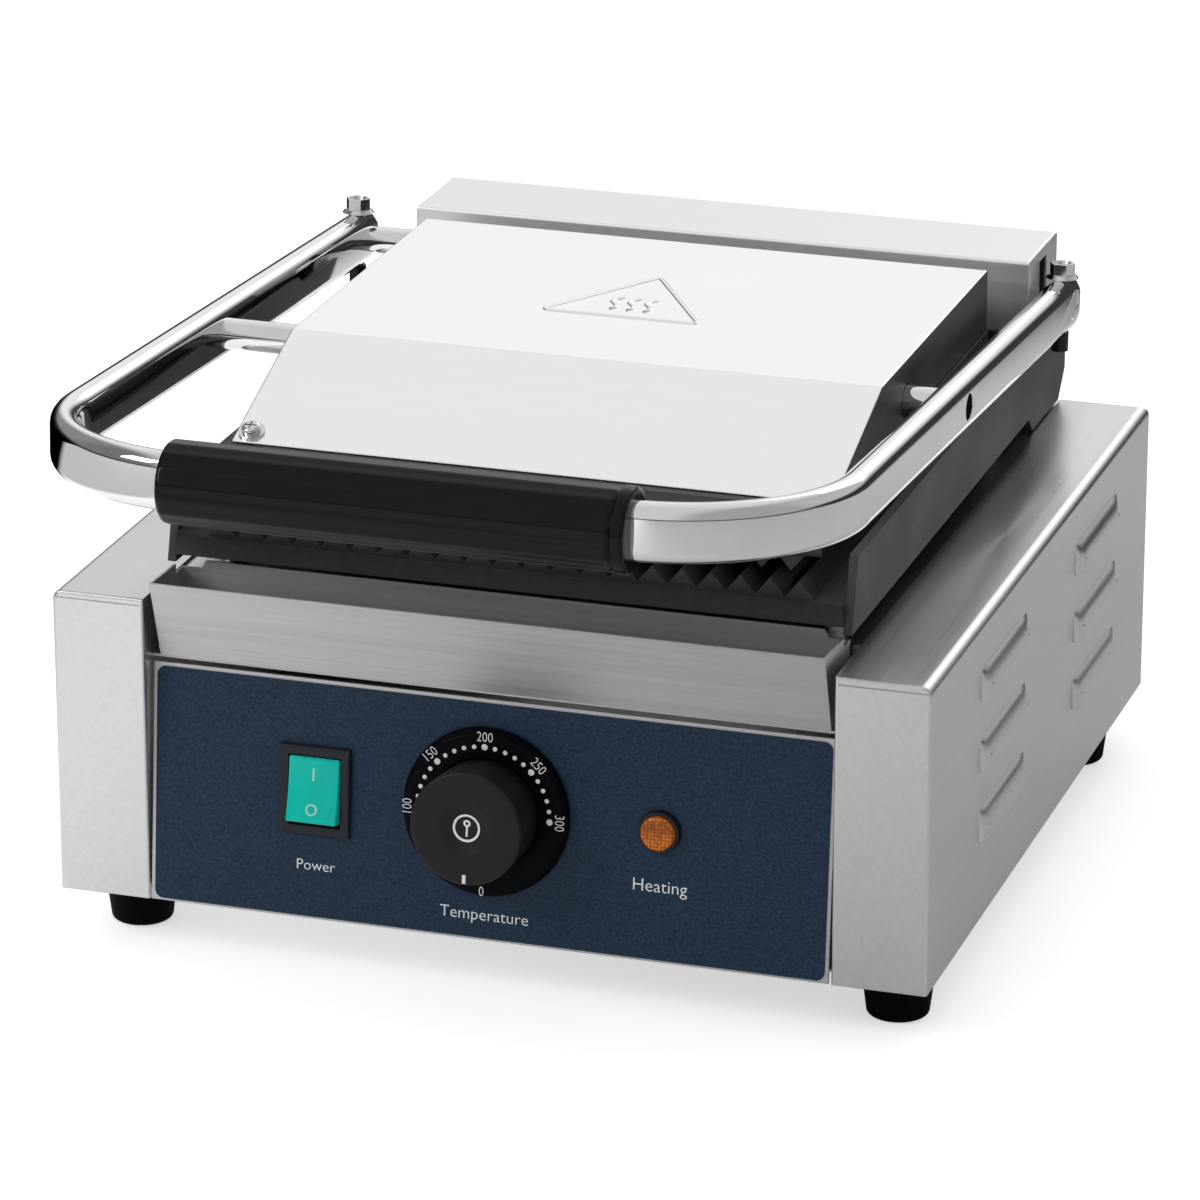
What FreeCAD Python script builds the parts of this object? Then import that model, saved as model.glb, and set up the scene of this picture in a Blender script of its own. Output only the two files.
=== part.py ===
import FreeCAD, Part
import Sketcher
import math
import os

# A countertop panini press: a folded sheet base with a leaning control panel, a ribbed lower
# plate, and a covered upper plate hung from a flat-oval tube handle that turns on a rear axle.
# Every length is in millimetres. Pieces are drawn with X = 0 at mid width, Y = 0 at the front
# flanges of the base and Z = 0 at the underside of the base sheet; their Placement then moves
# them to the part's own frame, whose origin is on the counter under the middle of the outline.

doc = FreeCAD.newDocument("PaniniPress")
sheet = doc.addObject("Spreadsheet::Sheet", "Sizes")
Vector, Rotation, Placement = FreeCAD.Vector, FreeCAD.Rotation, FreeCAD.Placement


class Size:
    """A number together with the expression that gives it."""

    def __init__(self, value, text):
        self.value, self.text = float(value), text

    def __add__(self, other):
        other = size(other)
        return Size(self.value + other.value, "(%s + %s)" % (self.text, other.text))

    def __sub__(self, other):
        other = size(other)
        return Size(self.value - other.value, "(%s - %s)" % (self.text, other.text))

    def __mul__(self, other):
        other = size(other)
        return Size(self.value * other.value, "(%s * %s)" % (self.text, other.text))

    def __truediv__(self, other):
        other = size(other)
        return Size(self.value / other.value, "(%s / %s)" % (self.text, other.text))

    def __neg__(self):
        return Size(-self.value, "(0 - %s)" % self.text)

    def __radd__(self, other):
        return size(other) + self

    def __rsub__(self, other):
        return size(other) - self

    __rmul__ = __mul__


def size(number):
    return number if isinstance(number, Size) else Size(number, "%.6g" % number)


def cosine(angle):
    return Size(math.cos(math.radians(angle.value)), "cos(%s * 1 deg)" % angle.text)


def sine(angle):
    return Size(math.sin(math.radians(angle.value)), "sin(%s * 1 deg)" % angle.text)


def tangent(angle):
    return Size(math.tan(math.radians(angle.value)), "tan(%s * 1 deg)" % angle.text)


# The driving dimensions, one row of the sheet each.
table = [
    ("base_width", 305, "over the outer faces of the side housings"),
    ("base_depth", 304, "front flange to rear flange"),
    ("base_height", 108, "base sheet, without the feet"),
    ("sheet_wall", 1.0, "folded stainless sheet"),
    ("tower_width", 32.5, "front flange of each side housing"),
    ("bend_radius", 3.5, "outer radius of the top fold"),
    ("fold_radius", 1.0, "upright folds of the front flange"),
    ("seam_drop", 2.6, "seam under the top sheet, below the top"),
    ("seam_width", 0.4, "seam height"),
    ("seam_inset", 1.2, "seam end to the flange edge"),
    ("return_depth", 14, "inward return behind each front flange"),
    ("lip_width", 11.5, "bottom lip of each side housing"),
    ("pan_gap", 1.0, "floor pan to side wall"),
    ("louvre_length", 58, "hood along the side"),
    ("louvre_height", 10.5, "hood, bottom to top"),
    ("louvre_out", 2.6, "how far a hood stands out"),
    ("louvre_first", 95, "centre of the front column of louvres"),
    ("louvre_step", 130, "front column to rear column"),
    ("louvre_low", 34.5, "centre height of the lowest row"),
    ("louvre_rise", 25.2, "row to row"),
    ("foot_height", 20, "rubber foot"),
    ("foot_top", 13, "radius under the base"),
    ("foot_sole", 10.5, "radius on the counter"),
    ("foot_side_inset", 17.5, "foot centre in from the side"),
    ("foot_front_inset", 30, "foot centre in from the front and the rear"),
    ("foot_screw", 2.5, "radius of the foot screws"),
    ("panel_lean", 5.27, "control panel leans back, degrees"),
    ("panel_front", -0.7, "front face of the film at its lower edge"),
    ("panel_low", 1.2, "height of the film's lower edge"),
    ("panel_side_gap", 0.8, "panel to the housings' returns"),
    ("panel_margin", 1.3, "bare metal around the film"),
    ("panel_wall", 1.2, "control panel sheet"),
    ("film_height", 81.6, "printed film, lower to upper edge"),
    ("film_wall", 0.4, "printed film"),
    ("film_corner", 3.0, "corner radius of the film"),
    ("control_height", 44.6, "switch, knob and lamp axis, up the panel"),
    ("switch_across", -60.5, "switch centre"),
    ("switch_width", 25, "bezel"),
    ("switch_height", 31, "bezel"),
    ("switch_bezel", 2.0, "bezel thickness"),
    ("switch_can_width", 21, "body behind the panel"),
    ("switch_can_height", 27.6, "body behind the panel"),
    ("switch_can_depth", 18, "body behind the panel"),
    ("rocker_width", 18, "rocker"),
    ("rocker_height", 22.4, "rocker"),
    ("rocker_gap", 0.35, "rocker to its opening"),
    ("rocker_tilt", 8, "rest angle of the rocker, degrees"),
    ("dial_radius", 29, "numbered ring"),
    ("dial_wall", 4.5, "numbered ring"),
    ("pin_radius", 1.0, "pivot pin of the rocker"),
    ("knob_radius", 18.5, "knob at its foot"),
    ("knob_face", 19.4, "knob at its face"),
    ("knob_out", 23, "knob face from the film"),
    ("knob_gap", 0.6, "knob to ring and film"),
    ("shaft_radius", 3.0, "thermostat shaft"),
    ("lamp_across", 60, "pilot lamp centre"),
    ("lamp_radius", 7.5, "pilot lamp ring"),
    ("lens_radius", 6.0, "pilot lamp lens"),
    ("tray_half", 117, "half width of the drip tray"),
    ("tray_wall", 0.8, "drip tray sheet"),
    ("tray_front", -1.3, "upper front edge"),
    ("tray_top", 114.5, "upper front edge"),
    ("tray_slope", 9, "front face runs back towards its foot"),
    ("tray_floor", 86.1, "underside"),
    ("tray_back", 29.3, "upper rear edge"),
    ("tray_back_drop", 1.2, "rear edge below the front edge"),
    ("tray_notch", 2.8, "rear wall cut down at both ends"),
    ("tray_notch_length", 7.3, "length of each cut"),
    ("tray_gap", 0.5, "tray to its shelf"),
    ("deck_front", 34, "front edge of the deck behind the tray"),
    ("plate_half", 119.4, "lower plate over its side walls"),
    ("plate_side", 3.0, "side wall of the lower plate"),
    ("plate_front", 22, "front edge of the lower plate"),
    ("plate_rear", 268, "rear wall of the lower plate"),
    ("plate_underside", 117, "underside of the lower plate"),
    ("plate_floor", 124.3, "valleys between the ribs"),
    ("plate_rim", 140, "top of the side walls"),
    ("wing_rear", 309, "side walls run back past the base"),
    ("wing_top", 134.5, "side walls beside the handle's ends"),
    ("rib_pitch", 10.07, "rib to rib"),
    ("rib_height", 6.1, "valley to peak"),
    ("lower_ribs", 21, "ribs on the lower plate"),
    ("upper_ribs", 20, "ribs on the upper plate"),
    ("rib_gap", 0.6, "upper peaks over lower peaks"),
    ("element_radius", 3.2, "tubular heating elements"),
    ("element_bend", 25, "centre radius of the element bends"),
    ("post_radius", 5, "posts under the lower plate"),
    ("axle_back", 286.5, "rear axle behind the front flanges"),
    ("axle_up", 149, "rear axle above the base underside"),
    ("axle_radius", 5, "rear axle"),
    ("rod_radius", 5.5, "middle rod"),
    ("rod_reach", 149.7, "axle to middle rod along the arms"),
    ("running_fit", 0.05, "radial clearance of turning pieces"),
    ("handle_shift", -11.8, "handle centre off the middle of the base"),
    ("handle_half", 139.7, "half the width over the arms"),
    ("handle_reach", 334, "axle to the front bar along the arms"),
    ("handle_rise", 3.3, "arms rise towards the front, degrees"),
    ("handle_bend", 60, "centre radius of the corners"),
    ("tube_thick", 10, "flat oval tube, across the arms"),
    ("tube_tall", 20, "flat oval tube, height"),
    ("tube_wall", 1.5, "flat oval tube"),
    ("tube_tail", 8, "arm behind the axle"),
    ("tube_chamfer", 3, "corners of the arm ends"),
    ("grip_radius", 14.25, "moulded grip"),
    ("grip_length", 158, "moulded grip"),
    ("grip_lip", 4, "plain collar at each end of the grip"),
    ("flute_radius", 1.3, "flutes of the grip"),
    ("flute_count", 20, "flutes of the grip"),
    ("bolt_radius", 2.5, "clamp bolt shank"),
    ("bolt_flange", 5.9, "clamp bolt flange radius"),
    ("bolt_head", 4.2, "clamp bolt hexagon height"),
    ("nut_radius", 3.1, "cap nut"),
    ("nut_height", 7, "cap nut"),
    ("top_half", 106.5, "half width of the upper plate"),
    ("top_front", 31, "front of the upper plate"),
    ("top_rear", 245, "rear of the upper plate"),
    ("top_wall", 4, "rim of the upper plate"),
    ("top_floor", 7, "thickness of the upper plate"),
    ("top_rim", 150, "rim of the upper plate"),
    ("lid_half", 105.6, "half width of the lid cover"),
    ("lid_wall", 1.0, "lid cover sheet"),
    ("lid_front", 46.6, "lower front edge of the lid cover"),
    ("lid_crest", 107, "front edge of the lid's flat top"),
    ("lid_rear", 246.5, "rear face of the lid cover"),
    ("lid_top", 172, "flat top of the lid cover"),
    ("lid_seam", 0.2, "lid cover above the plate's rim"),
    ("block_width", 12, "pivot blocks on the upper plate"),
    ("block_across", 90, "pivot block centre"),
    ("box_half", 115.8, "rear box"),
    ("box_front", 265.7, "rear box"),
    ("box_rear", 306.8, "rear box"),
    ("box_top", 170, "rear box"),
    ("box_skirt", 143.5, "lower edge of the box's front"),
    ("slot_gap", 0.3, "axle to the slots in the box's ends"),
    ("hinge_across", 106, "hinge bracket centre"),
    ("hinge_wall", 4, "hinge bracket"),
    ("bush_wall", 2, "axle bushes"),
    ("screw_radius", 1.7, "small screws"),
    ("screw_head", 3.2, "small screw heads"),
    ("gland_across", 85, "cable inlet"),
    ("gland_up", 32, "cable inlet"),
    ("gland_out", 10, "cable inlet behind the rear panel"),
]
dimension = {}
for row, (alias, value, note) in enumerate(table, 1):
    sheet.set("A%d" % row, alias)
    sheet.set("B%d" % row, str(value))
    sheet.set("C%d" % row, note)
    sheet.setAlias("B%d" % row, alias)
    dimension[alias] = Size(value, "Sizes." + alias)
doc.recompute()


class Dimensions:
    def __getattr__(self, alias):
        return dimension[alias]


d = Dimensions()
half_width = d.base_width / 2
flange_edge = half_width - d.tower_width
rise, level = sine(d.handle_rise), cosine(d.handle_rise)
grip_nose = d.axle_back - d.handle_reach * level - d.grip_radius
rear_reach = d.base_depth - 1 + d.gland_out
origin_back = (grip_nose + rear_reach) / 2
nodes = []


def bind(thing, path, amount):
    amount = size(amount)
    thing.setExpression(path, amount.text)


def settle(thing, at, axis=None, angle=None):
    """Place a thing, its position and its turn bound to the sheet."""
    turn = Rotation()
    if axis is not None:
        turn = Rotation(axis, size(angle).value)
    start = [size(v).value for v in at]
    thing.Placement = Placement(Vector(*start), turn)
    for letter, amount in zip("xyz", at):
        bind(thing, "Placement.Base." + letter, amount)


def piece(name, at=(0, 0, 0), lean=None):
    """A body in the drawing frame, or in one that starts at a point and leans back."""
    body = doc.addObject("PartDesign::Body", name)
    body.Label = name
    if "AllowCompound" in body.PropertiesList:
        body.AllowCompound = True
    shifted = (at[0], at[1] - origin_back, at[2] + d.foot_height)
    if lean is None:
        settle(body, shifted)
    else:
        settle(body, shifted, Vector(1, 0, 0), -lean.value)
    nodes.append(body)
    return body


def in_panel(name, across=0):
    base = (size(across), d.panel_front, d.panel_low)
    return piece(name, base, d.panel_lean)


def in_handle(name):
    return piece(name, (d.handle_shift, d.axle_back, d.axle_up), d.handle_rise)


def plane_of(body, role):
    return [p for p in body.Origin.OriginFeatures if p.Role == role][0]


def outline(body, plane, points, start=0):
    """A closed sketch of straight lines, every corner held by its own dimensions."""
    sketch = body.newObject("Sketcher::SketchObject", body.Name + "_outline")
    sketch.AttachmentSupport = [(plane_of(body, plane), "")]
    sketch.MapMode = "FlatFace"
    corners = [(size(a), size(b)) for a, b in points]
    count = len(corners)
    for i in range(count):
        a, b = corners[i], corners[(i + 1) % count]
        sketch.addGeometry(Part.LineSegment(Vector(a[0].value, a[1].value, 0),
                                            Vector(b[0].value, b[1].value, 0)), False)
    for i in range(count):
        sketch.addConstraint(Sketcher.Constraint("Coincident", i, 2, (i + 1) % count, 1))
    for i, corner in enumerate(corners):
        for kind, amount in zip(("DistanceX", "DistanceY"), corner):
            k = sketch.addConstraint(Sketcher.Constraint(kind, -1, 1, i, 1, amount.value))
            bind(sketch, "Constraints[%d]" % k, amount)
    start = size(start)
    bind(sketch, "AttachmentOffset.Base.z", -start if plane == "XZ_Plane" else start)
    return sketch


def pad(body, plane, points, start, length):
    """Material from the start position along the positive axis."""
    feature = body.newObject("PartDesign::Pad", body.Name + "_pad")
    feature.Profile = outline(body, plane, points, start)
    feature.Reversed = plane == "XZ_Plane"
    bind(feature, "Length", length)
    return feature


def pocket(body, plane, points, start, length):
    feature = body.newObject("PartDesign::Pocket", body.Name + "_pocket")
    feature.Profile = outline(body, plane, points, start)
    feature.Reversed = plane != "XZ_Plane"
    bind(feature, "Length", length)
    return feature


along = {"x": (Vector(0, 1, 0), 90), "y": (Vector(1, 0, 0), -90), "z": (Vector(0, 0, 1), 0),
         "-y": (Vector(1, 0, 0), 90), "-z": (Vector(1, 0, 0), 180)}


def block(body, low, high, cut=False):
    kind = "PartDesign::SubtractiveBox" if cut else "PartDesign::AdditiveBox"
    feature = body.newObject(kind, body.Name + "_block")
    for side, a, b in zip(("Length", "Width", "Height"), low, high):
        bind(feature, side, size(b) - a)
    settle(feature, low)
    return feature


def round_bar(body, radius, length, at, axis="z", cut=False, end_radius=None):
    kind = "Subtractive" if cut else "Additive"
    shape = "Cylinder" if end_radius is None else "Cone"
    feature = body.newObject("PartDesign::%s%s" % (kind, shape), body.Name + "_round")
    if end_radius is None:
        bind(feature, "Radius", radius)
    else:
        bind(feature, "Radius1", radius)
        bind(feature, "Radius2", end_radius)
    bind(feature, "Height", length)
    settle(feature, at, *along[axis])
    return feature


def soften(body, radius, choose, kind="PartDesign::Fillet"):
    """Fillet or chamfer the edges whose middle point the choice accepts."""
    doc.recompute()
    tip = body.Tip
    names = []
    for number, edge in enumerate(tip.Shape.Edges, 1):
        middle = edge.valueAt((edge.FirstParameter + edge.LastParameter) / 2)
        if choose(middle, edge):
            names.append("Edge%d" % number)
    if not names:
        raise ValueError("no edge to soften on " + body.Label)
    feature = body.newObject(kind, body.Name + "_soft")
    feature.Base = (tip, names)
    bind(feature, "Radius" if kind.endswith("Fillet") else "Size", radius)
    return feature


def near(a, b):
    return abs(a - size(b).value) < 0.02


# ---------------------------------------------------------------- base

rows, columns = 3, 2
for side, name in ((-1, "side_housing_left"), (1, "side_housing_right")):
    body = piece(name)
    outer, inner = half_width * side, (half_width - d.sheet_wall) * side
    edge, lip = flange_edge * side, (half_width - d.sheet_wall - d.lip_width) * side
    roof = d.base_height - d.sheet_wall
    pad(body, "XZ_Plane", [(outer, 0), (outer, d.base_height), (edge, d.base_height),
                           (edge, roof), (inner, roof), (inner, d.sheet_wall),
                           (lip, d.sheet_wall), (lip, 0)], 0, d.base_depth)
    low_x, high_x = (outer, edge) if side < 0 else (edge, outer)
    block(body, (low_x, 0, 0), (high_x, d.sheet_wall, d.base_height))
    block(body, (low_x, d.base_depth - d.sheet_wall, 0), (high_x, d.base_depth, d.base_height))
    back_x = flange_edge if side > 0 else -flange_edge - d.sheet_wall
    block(body, (back_x, 0, 0), (back_x + d.sheet_wall, d.return_depth, d.base_height))
    soften(body, d.bend_radius - d.sheet_wall, lambda m, e: near(m.z, roof) and e.Length > 20
           and (near(m.x, inner) or near(m.y, d.base_depth - d.sheet_wall)))
    soften(body, d.bend_radius, lambda m, e: near(m.z, d.base_height) and e.Length > 20
           and (near(m.x, outer) or near(m.y, d.base_depth)))
    soften(body, d.fold_radius, lambda m, e: near(m.y, 0) and e.Length > 90
           and (near(m.x, outer) or near(m.x, edge)))
    seam_low = d.base_height - d.seam_drop
    seam_end = side * d.seam_inset
    seam_x = sorted((outer - seam_end, edge + seam_end), key=lambda v: v.value)
    block(body, (seam_x[0], -1, seam_low), (seam_x[1], d.sheet_wall * 0.4,
                                           seam_low + d.seam_width), cut=True)
    turn = (Vector(0, 0, 1), -90 * side)
    for column in range(columns):
        for line in range(rows):
            centre = d.louvre_first + d.louvre_step * column
            foot = d.louvre_low + d.louvre_rise * line - d.louvre_height / 2
            for cut in (False, True):
                kind = "PartDesign::%sWedge" % ("Subtractive" if cut else "Additive")
                hood = body.newObject(kind, body.Name + "_louvre")
                wall = d.sheet_wall if cut else size(0)
                reach = d.louvre_length / 2 - wall
                bind(hood, "Xmin", -reach)
                bind(hood, "Xmax", reach)
                bind(hood, "X2min", -(reach - 4))
                bind(hood, "X2max", reach - 4)
                bind(hood, "Ymin", -d.sheet_wall * 1.5 if cut else -d.sheet_wall * 0.5)
                bind(hood, "Ymax", d.louvre_out - wall)
                bind(hood, "Zmin", size(-0.8) if cut else size(0))
                bind(hood, "Z2min", size(-0.8) if cut else size(0))
                bind(hood, "Zmax", d.louvre_height - wall * 1.2)
                bind(hood, "Z2max", d.louvre_height * 0.45 - wall * 0.6)
                settle(hood, (outer, centre, foot), *turn)

foot_spots = [(side * (half_width - d.foot_side_inset), y)
              for y in (d.foot_front_inset, d.base_depth - d.foot_front_inset)
              for side in (-1, 1)]

pan = piece("floor_pan")
pan_half = half_width - d.sheet_wall - d.pan_gap
block(pan, (-pan_half, 8, d.sheet_wall), (pan_half, d.base_depth - 2 * d.sheet_wall,
                                         2 * d.sheet_wall))
for x, y in foot_spots:
    round_bar(pan, d.foot_screw + 0.1, 4, (x, y, 0), cut=True)
for i in range(7):
    block(pan, (-60, 120 + 14 * i, 0), (60, 125 + 14 * i, 4), cut=True)

rear = piece("rear_panel")
rear_face = d.base_depth - d.sheet_wall
block(rear, (-(flange_edge + 20), rear_face - d.sheet_wall, 2 * d.sheet_wall),
      (flange_edge + 20, rear_face, d.base_height - d.sheet_wall * 2 - 0.5))
round_bar(rear, 6.1, 4, (d.gland_across, rear_face - 3, d.gland_up), "y", cut=True)
for i in range(8):
    block(rear, (-85 + 14 * i, rear_face - 3, 45), (-80 + 14 * i, rear_face + 3, 85), cut=True)

deck = piece("top_deck")
deck_top = d.base_height - d.sheet_wall
block(deck, (-(flange_edge + 18), d.deck_front, deck_top - d.sheet_wall),
      (flange_edge + 18, rear_face, deck_top))
bend_room = d.bend_radius - d.sheet_wall
for side in (-1, 1):
    near_x, far_x = sorted((flange_edge * side, (flange_edge + 24) * side), key=lambda v: v.value)
    block(deck, (near_x, rear_face - bend_room, deck_top - 3), (far_x, rear_face + 1,
                                                              deck_top + 1), cut=True)
    block(rear, (near_x, rear_face - 3, deck_top - bend_room), (far_x, rear_face + 1,
                                                              deck_top + 1), cut=True)
block(deck, (-flange_edge, d.deck_front, d.tray_floor), (flange_edge, d.deck_front + d.sheet_wall,
                                                      deck_top))
block(deck, (-95, 60, deck_top - 3), (95, 258, deck_top + 3), cut=True)

shelf = piece("tray_shelf")
shelf_top = d.tray_floor - d.tray_gap
block(shelf, (-flange_edge, 9.5, shelf_top - d.sheet_wall), (flange_edge, d.deck_front, shelf_top))

foot_names = ("foot_front_left", "foot_front_right", "foot_rear_left", "foot_rear_right")
for name, (x, y) in zip(foot_names, foot_spots):
    foot = piece(name, (x, y, 0))
    round_bar(foot, d.foot_sole, d.foot_height, (0, 0, -d.foot_height), end_radius=d.foot_top)
    round_bar(foot, d.foot_screw, d.foot_height + 1, (0, 0, -d.foot_height - 0.5), cut=True)
    round_bar(foot, 5, d.foot_height - 10.5, (0, 0, -d.foot_height - 0.5), cut=True)
    soften(foot, 1.8, lambda m, e: near(m.z, -d.foot_height) and m.x ** 2 + m.y ** 2 > 50)


def fastener(name, spots, radius, length, head_radius, head_height):
    """A group of equal pan-head screws; each spot is a point and the axis of its head."""
    screws = []
    for number, (at, axis) in enumerate(spots):
        at = (at[0], at[1] - origin_back, at[2] + d.foot_height)
        back = {"-z": (0, 0, 1), "z": (0, 0, -1), "y": (0, -1, 0), "-y": (0, 1, 0)}[axis]
        parts = []
        for label, r, tall, sink in (("shank", radius, length, length), ("head", head_radius,
                                                                     head_height, 0)):
            bar = doc.addObject("Part::Cylinder", "%s_%s" % (name, label))
            bind(bar, "Radius", r)
            bind(bar, "Height", size(tall) if label == "head" else size(tall) + head_height * 0.5)
            settle(bar, [size(a) + size(sink) * b for a, b in zip(at, back)], *along[axis])
            parts.append(bar)
        joined = doc.addObject("Part::MultiFuse", "%s_%d" % (name, number))
        joined.Shapes = parts
        screws.append(joined)
    group = doc.addObject("Part::Compound", name)
    group.Links = screws
    group.Label = name
    nodes.append(group)
    return group


fastener("foot_screws", [((x, y, -11), "-z") for x, y in foot_spots], d.foot_screw, 15, 4.6, 2.4)
rear_screws = [((side * (flange_edge + 10), d.base_depth, z), "y")
               for side in (-1, 1) for z in (18, 90)]
fastener("rear_panel_screws", rear_screws, d.screw_radius, 6, d.screw_head, 2.2)
for x, y, z in [at for at, axis in rear_screws]:
    for body in nodes:
        if body.Label in ("rear_panel", "side_housing_left", "side_housing_right"):
            right = body.Label == "side_housing_right"
            if body.Label == "rear_panel" or (x.value > 0) == right:
                round_bar(body, d.screw_radius, 8, (x, y - 5, z), "y", cut=True)

# ---------------------------------------------------------------- control panel

panel = in_panel("control_panel")
panel_half = flange_edge - d.panel_side_gap
film_half = panel_half - d.panel_margin
face = d.film_wall
block(panel, (-panel_half, face, -0.8), (panel_half, face + d.panel_wall,
                                         d.film_height + d.panel_margin))
film = in_panel("panel_film")
block(film, (-film_half, 0, 0), (film_half, face, d.film_height))
soften(film, d.film_corner, lambda m, e: near(abs(m.x), film_half)
       and (near(m.z, 0) or near(m.z, d.film_height)) and near(e.Length, face))
for body in (panel, film):
    block(body, (d.switch_across - d.switch_can_width / 2 - 0.1, -1,
                 d.control_height - d.switch_can_height / 2 - 0.1),
          (d.switch_across + d.switch_can_width / 2 + 0.1, 4,
           d.control_height + d.switch_can_height / 2 + 0.1), cut=True)
    round_bar(body, 5.6, 6, (0, -1, d.control_height), "y", cut=True)
    round_bar(body, 5.5, 6, (d.lamp_across, -1, d.control_height), "y", cut=True)

switch = in_panel("switch_housing", d.switch_across)
mid = d.control_height
block(switch, (-d.switch_width / 2, -d.switch_bezel, mid - d.switch_height / 2),
      (d.switch_width / 2, 0, mid + d.switch_height / 2))
block(switch, (-d.switch_can_width / 2, 0, mid - d.switch_can_height / 2),
      (d.switch_can_width / 2, d.switch_can_depth, mid + d.switch_can_height / 2))
rocker_open = d.rocker_width / 2 + d.rocker_gap
rocker_tall = d.rocker_height / 2 + 1.1
block(switch, (-rocker_open, -d.switch_bezel - 1, mid - rocker_tall), (rocker_open, 11,
                                                                     mid + rocker_tall), cut=True)
soften(switch, 0.9, lambda m, e: near(m.y, -d.switch_bezel)
       and (near(abs(m.x), d.switch_width / 2) or near(abs(m.z - mid.value), d.switch_height / 2)))

pin_in = size(2.0)
round_bar(switch, d.pin_radius, d.rocker_width + 3, (-d.rocker_width / 2 - 1.5, pin_in, mid),
          "x", cut=True)
pin = in_panel("rocker_pin", d.switch_across)
round_bar(pin, d.pin_radius, d.rocker_width + 3, (-d.rocker_width / 2 - 1.5, pin_in, mid), "x")

# The rocker leans by its rest angle about its own pin, on top of the panel's lean.
rocker_at = (d.switch_across,
             d.panel_front + pin_in * cosine(d.panel_lean) + mid * sine(d.panel_lean),
             d.panel_low - pin_in * sine(d.panel_lean) + mid * cosine(d.panel_lean))
rocker = piece("switch_rocker", rocker_at, d.panel_lean + d.rocker_tilt)
half = d.rocker_height / 2
pad(rocker, "YZ_Plane", [(-6.2, half), (-5.4, 0), (-6.2, -half), (1.5, -half), (5.5, -3),
                         (5.5, 3), (1.5, half)], -d.rocker_width / 2, d.rocker_width)
soften(rocker, 0.5, lambda m, e: near(m.y, -6.2))
round_bar(rocker, d.pin_radius + d.running_fit, d.rocker_width + 2,
          (-d.rocker_width / 2 - 1, 0, 0), "x", cut=True)

dial = in_panel("dial_ring")
round_bar(dial, d.dial_radius, d.dial_wall, (0, 0, mid), "-y", end_radius=d.dial_radius - 1.6)
round_bar(dial, d.knob_radius + d.knob_gap, d.dial_wall + 2, (0, 1, mid), "-y", cut=True)

knob = in_panel("thermostat_knob")
round_bar(knob, d.knob_radius, d.knob_out - d.knob_gap, (0, -d.knob_gap, mid), "-y",
          end_radius=d.knob_face)
soften(knob, 1.2, lambda m, e: near(m.y, -d.knob_out))
round_bar(knob, 6.0, 1.2, (0, -d.knob_out + 1.2, mid), "-y", cut=True, end_radius=8.5)
round_bar(knob, 8, 6, (0, 1, mid), "-y", cut=True)
round_bar(knob, d.shaft_radius, 14, (0, -1, mid), "-y", cut=True)

thermostat = in_panel("thermostat_body")
behind = face + d.panel_wall
block(thermostat, (-18, behind, mid - 15), (18, behind + 26, mid + 15))
round_bar(thermostat, 5, behind + 3, (0, behind, mid), "-y")
round_bar(thermostat, d.shaft_radius + d.running_fit, 20, (0, behind + 10, mid), "-y", cut=True)
shaft = in_panel("thermostat_shaft")
round_bar(shaft, d.shaft_radius, 20, (0, behind + 5, mid), "-y")

lamp = in_panel("pilot_lamp_body", d.lamp_across)
round_bar(lamp, d.lamp_radius, 2.2, (0, 0, mid), "-y", end_radius=d.lamp_radius - 0.5)
round_bar(lamp, 5.4, 20, (0, 0, mid), "y")
round_bar(lamp, d.lens_radius + 0.1, 2, (0, -0.6, mid), "-y", cut=True)
lens = in_panel("pilot_lamp_lens", d.lamp_across)
round_bar(lens, d.lens_radius, 3.2, (0, -0.6, mid), "-y")
soften(lens, 1.3, lambda m, e: near(m.y, -3.8))

# ---------------------------------------------------------------- drip tray

tray = piece("drip_tray")
foot_y = d.tray_front + d.tray_slope
back_top = d.tray_top - d.tray_back_drop
pad(tray, "YZ_Plane", [(d.tray_front, d.tray_top), (foot_y, d.tray_floor),
                       (d.tray_back - 2.8, d.tray_floor), (d.tray_back, back_top)],
    -d.tray_half, d.tray_half * 2)
skin = d.tray_wall
pocket(tray, "YZ_Plane", [(d.tray_front + skin * 1.05 - 0.63, d.tray_top + 2),
                          (foot_y + skin * 0.75, d.tray_floor + skin),
                          (d.tray_back - 2.8 - skin * 0.85, d.tray_floor + skin),
                          (d.tray_back - skin + 0.35, back_top + 3)],
       -(d.tray_half - skin), (d.tray_half - skin) * 2)

for side in (-1, 1):
    end = d.tray_half * side
    low = back_top - d.tray_notch
    pocket(tray, "XZ_Plane", [(end - side * (d.tray_notch_length + 2), back_top + 1),
                              (end - side * d.tray_notch_length, low),
                              (end + side, low), (end + side, back_top + 1)],
           d.tray_back - 8, 12)

# ---------------------------------------------------------------- lower plate

plate = piece("lower_plate")
inner_half = d.plate_half - d.plate_side
block(plate, (-inner_half, d.plate_front, d.plate_underside), (inner_half, d.plate_rear,
                                                              d.plate_floor))
block(plate, (-inner_half, d.plate_rear - 4, d.plate_underside), (inner_half, d.plate_rear,
                                                                 d.plate_rim - 2))
wing = [(d.plate_front, d.plate_underside - 2.6), (d.plate_front + 7, d.plate_rim),
        (d.plate_rear - 2, d.plate_rim), (d.plate_rear + 4, d.wing_top),
        (d.wing_rear, d.wing_top), (d.wing_rear, d.base_height + 10),
        (d.wing_rear - 9, d.base_height + 0.4), (d.plate_rear - 6, d.base_height + 0.4),
        (d.plate_rear - 12, d.plate_underside - 2.6)]
for start in (-d.plate_half, inner_half):
    pad(plate, "YZ_Plane", wing, start, d.plate_side)


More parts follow.
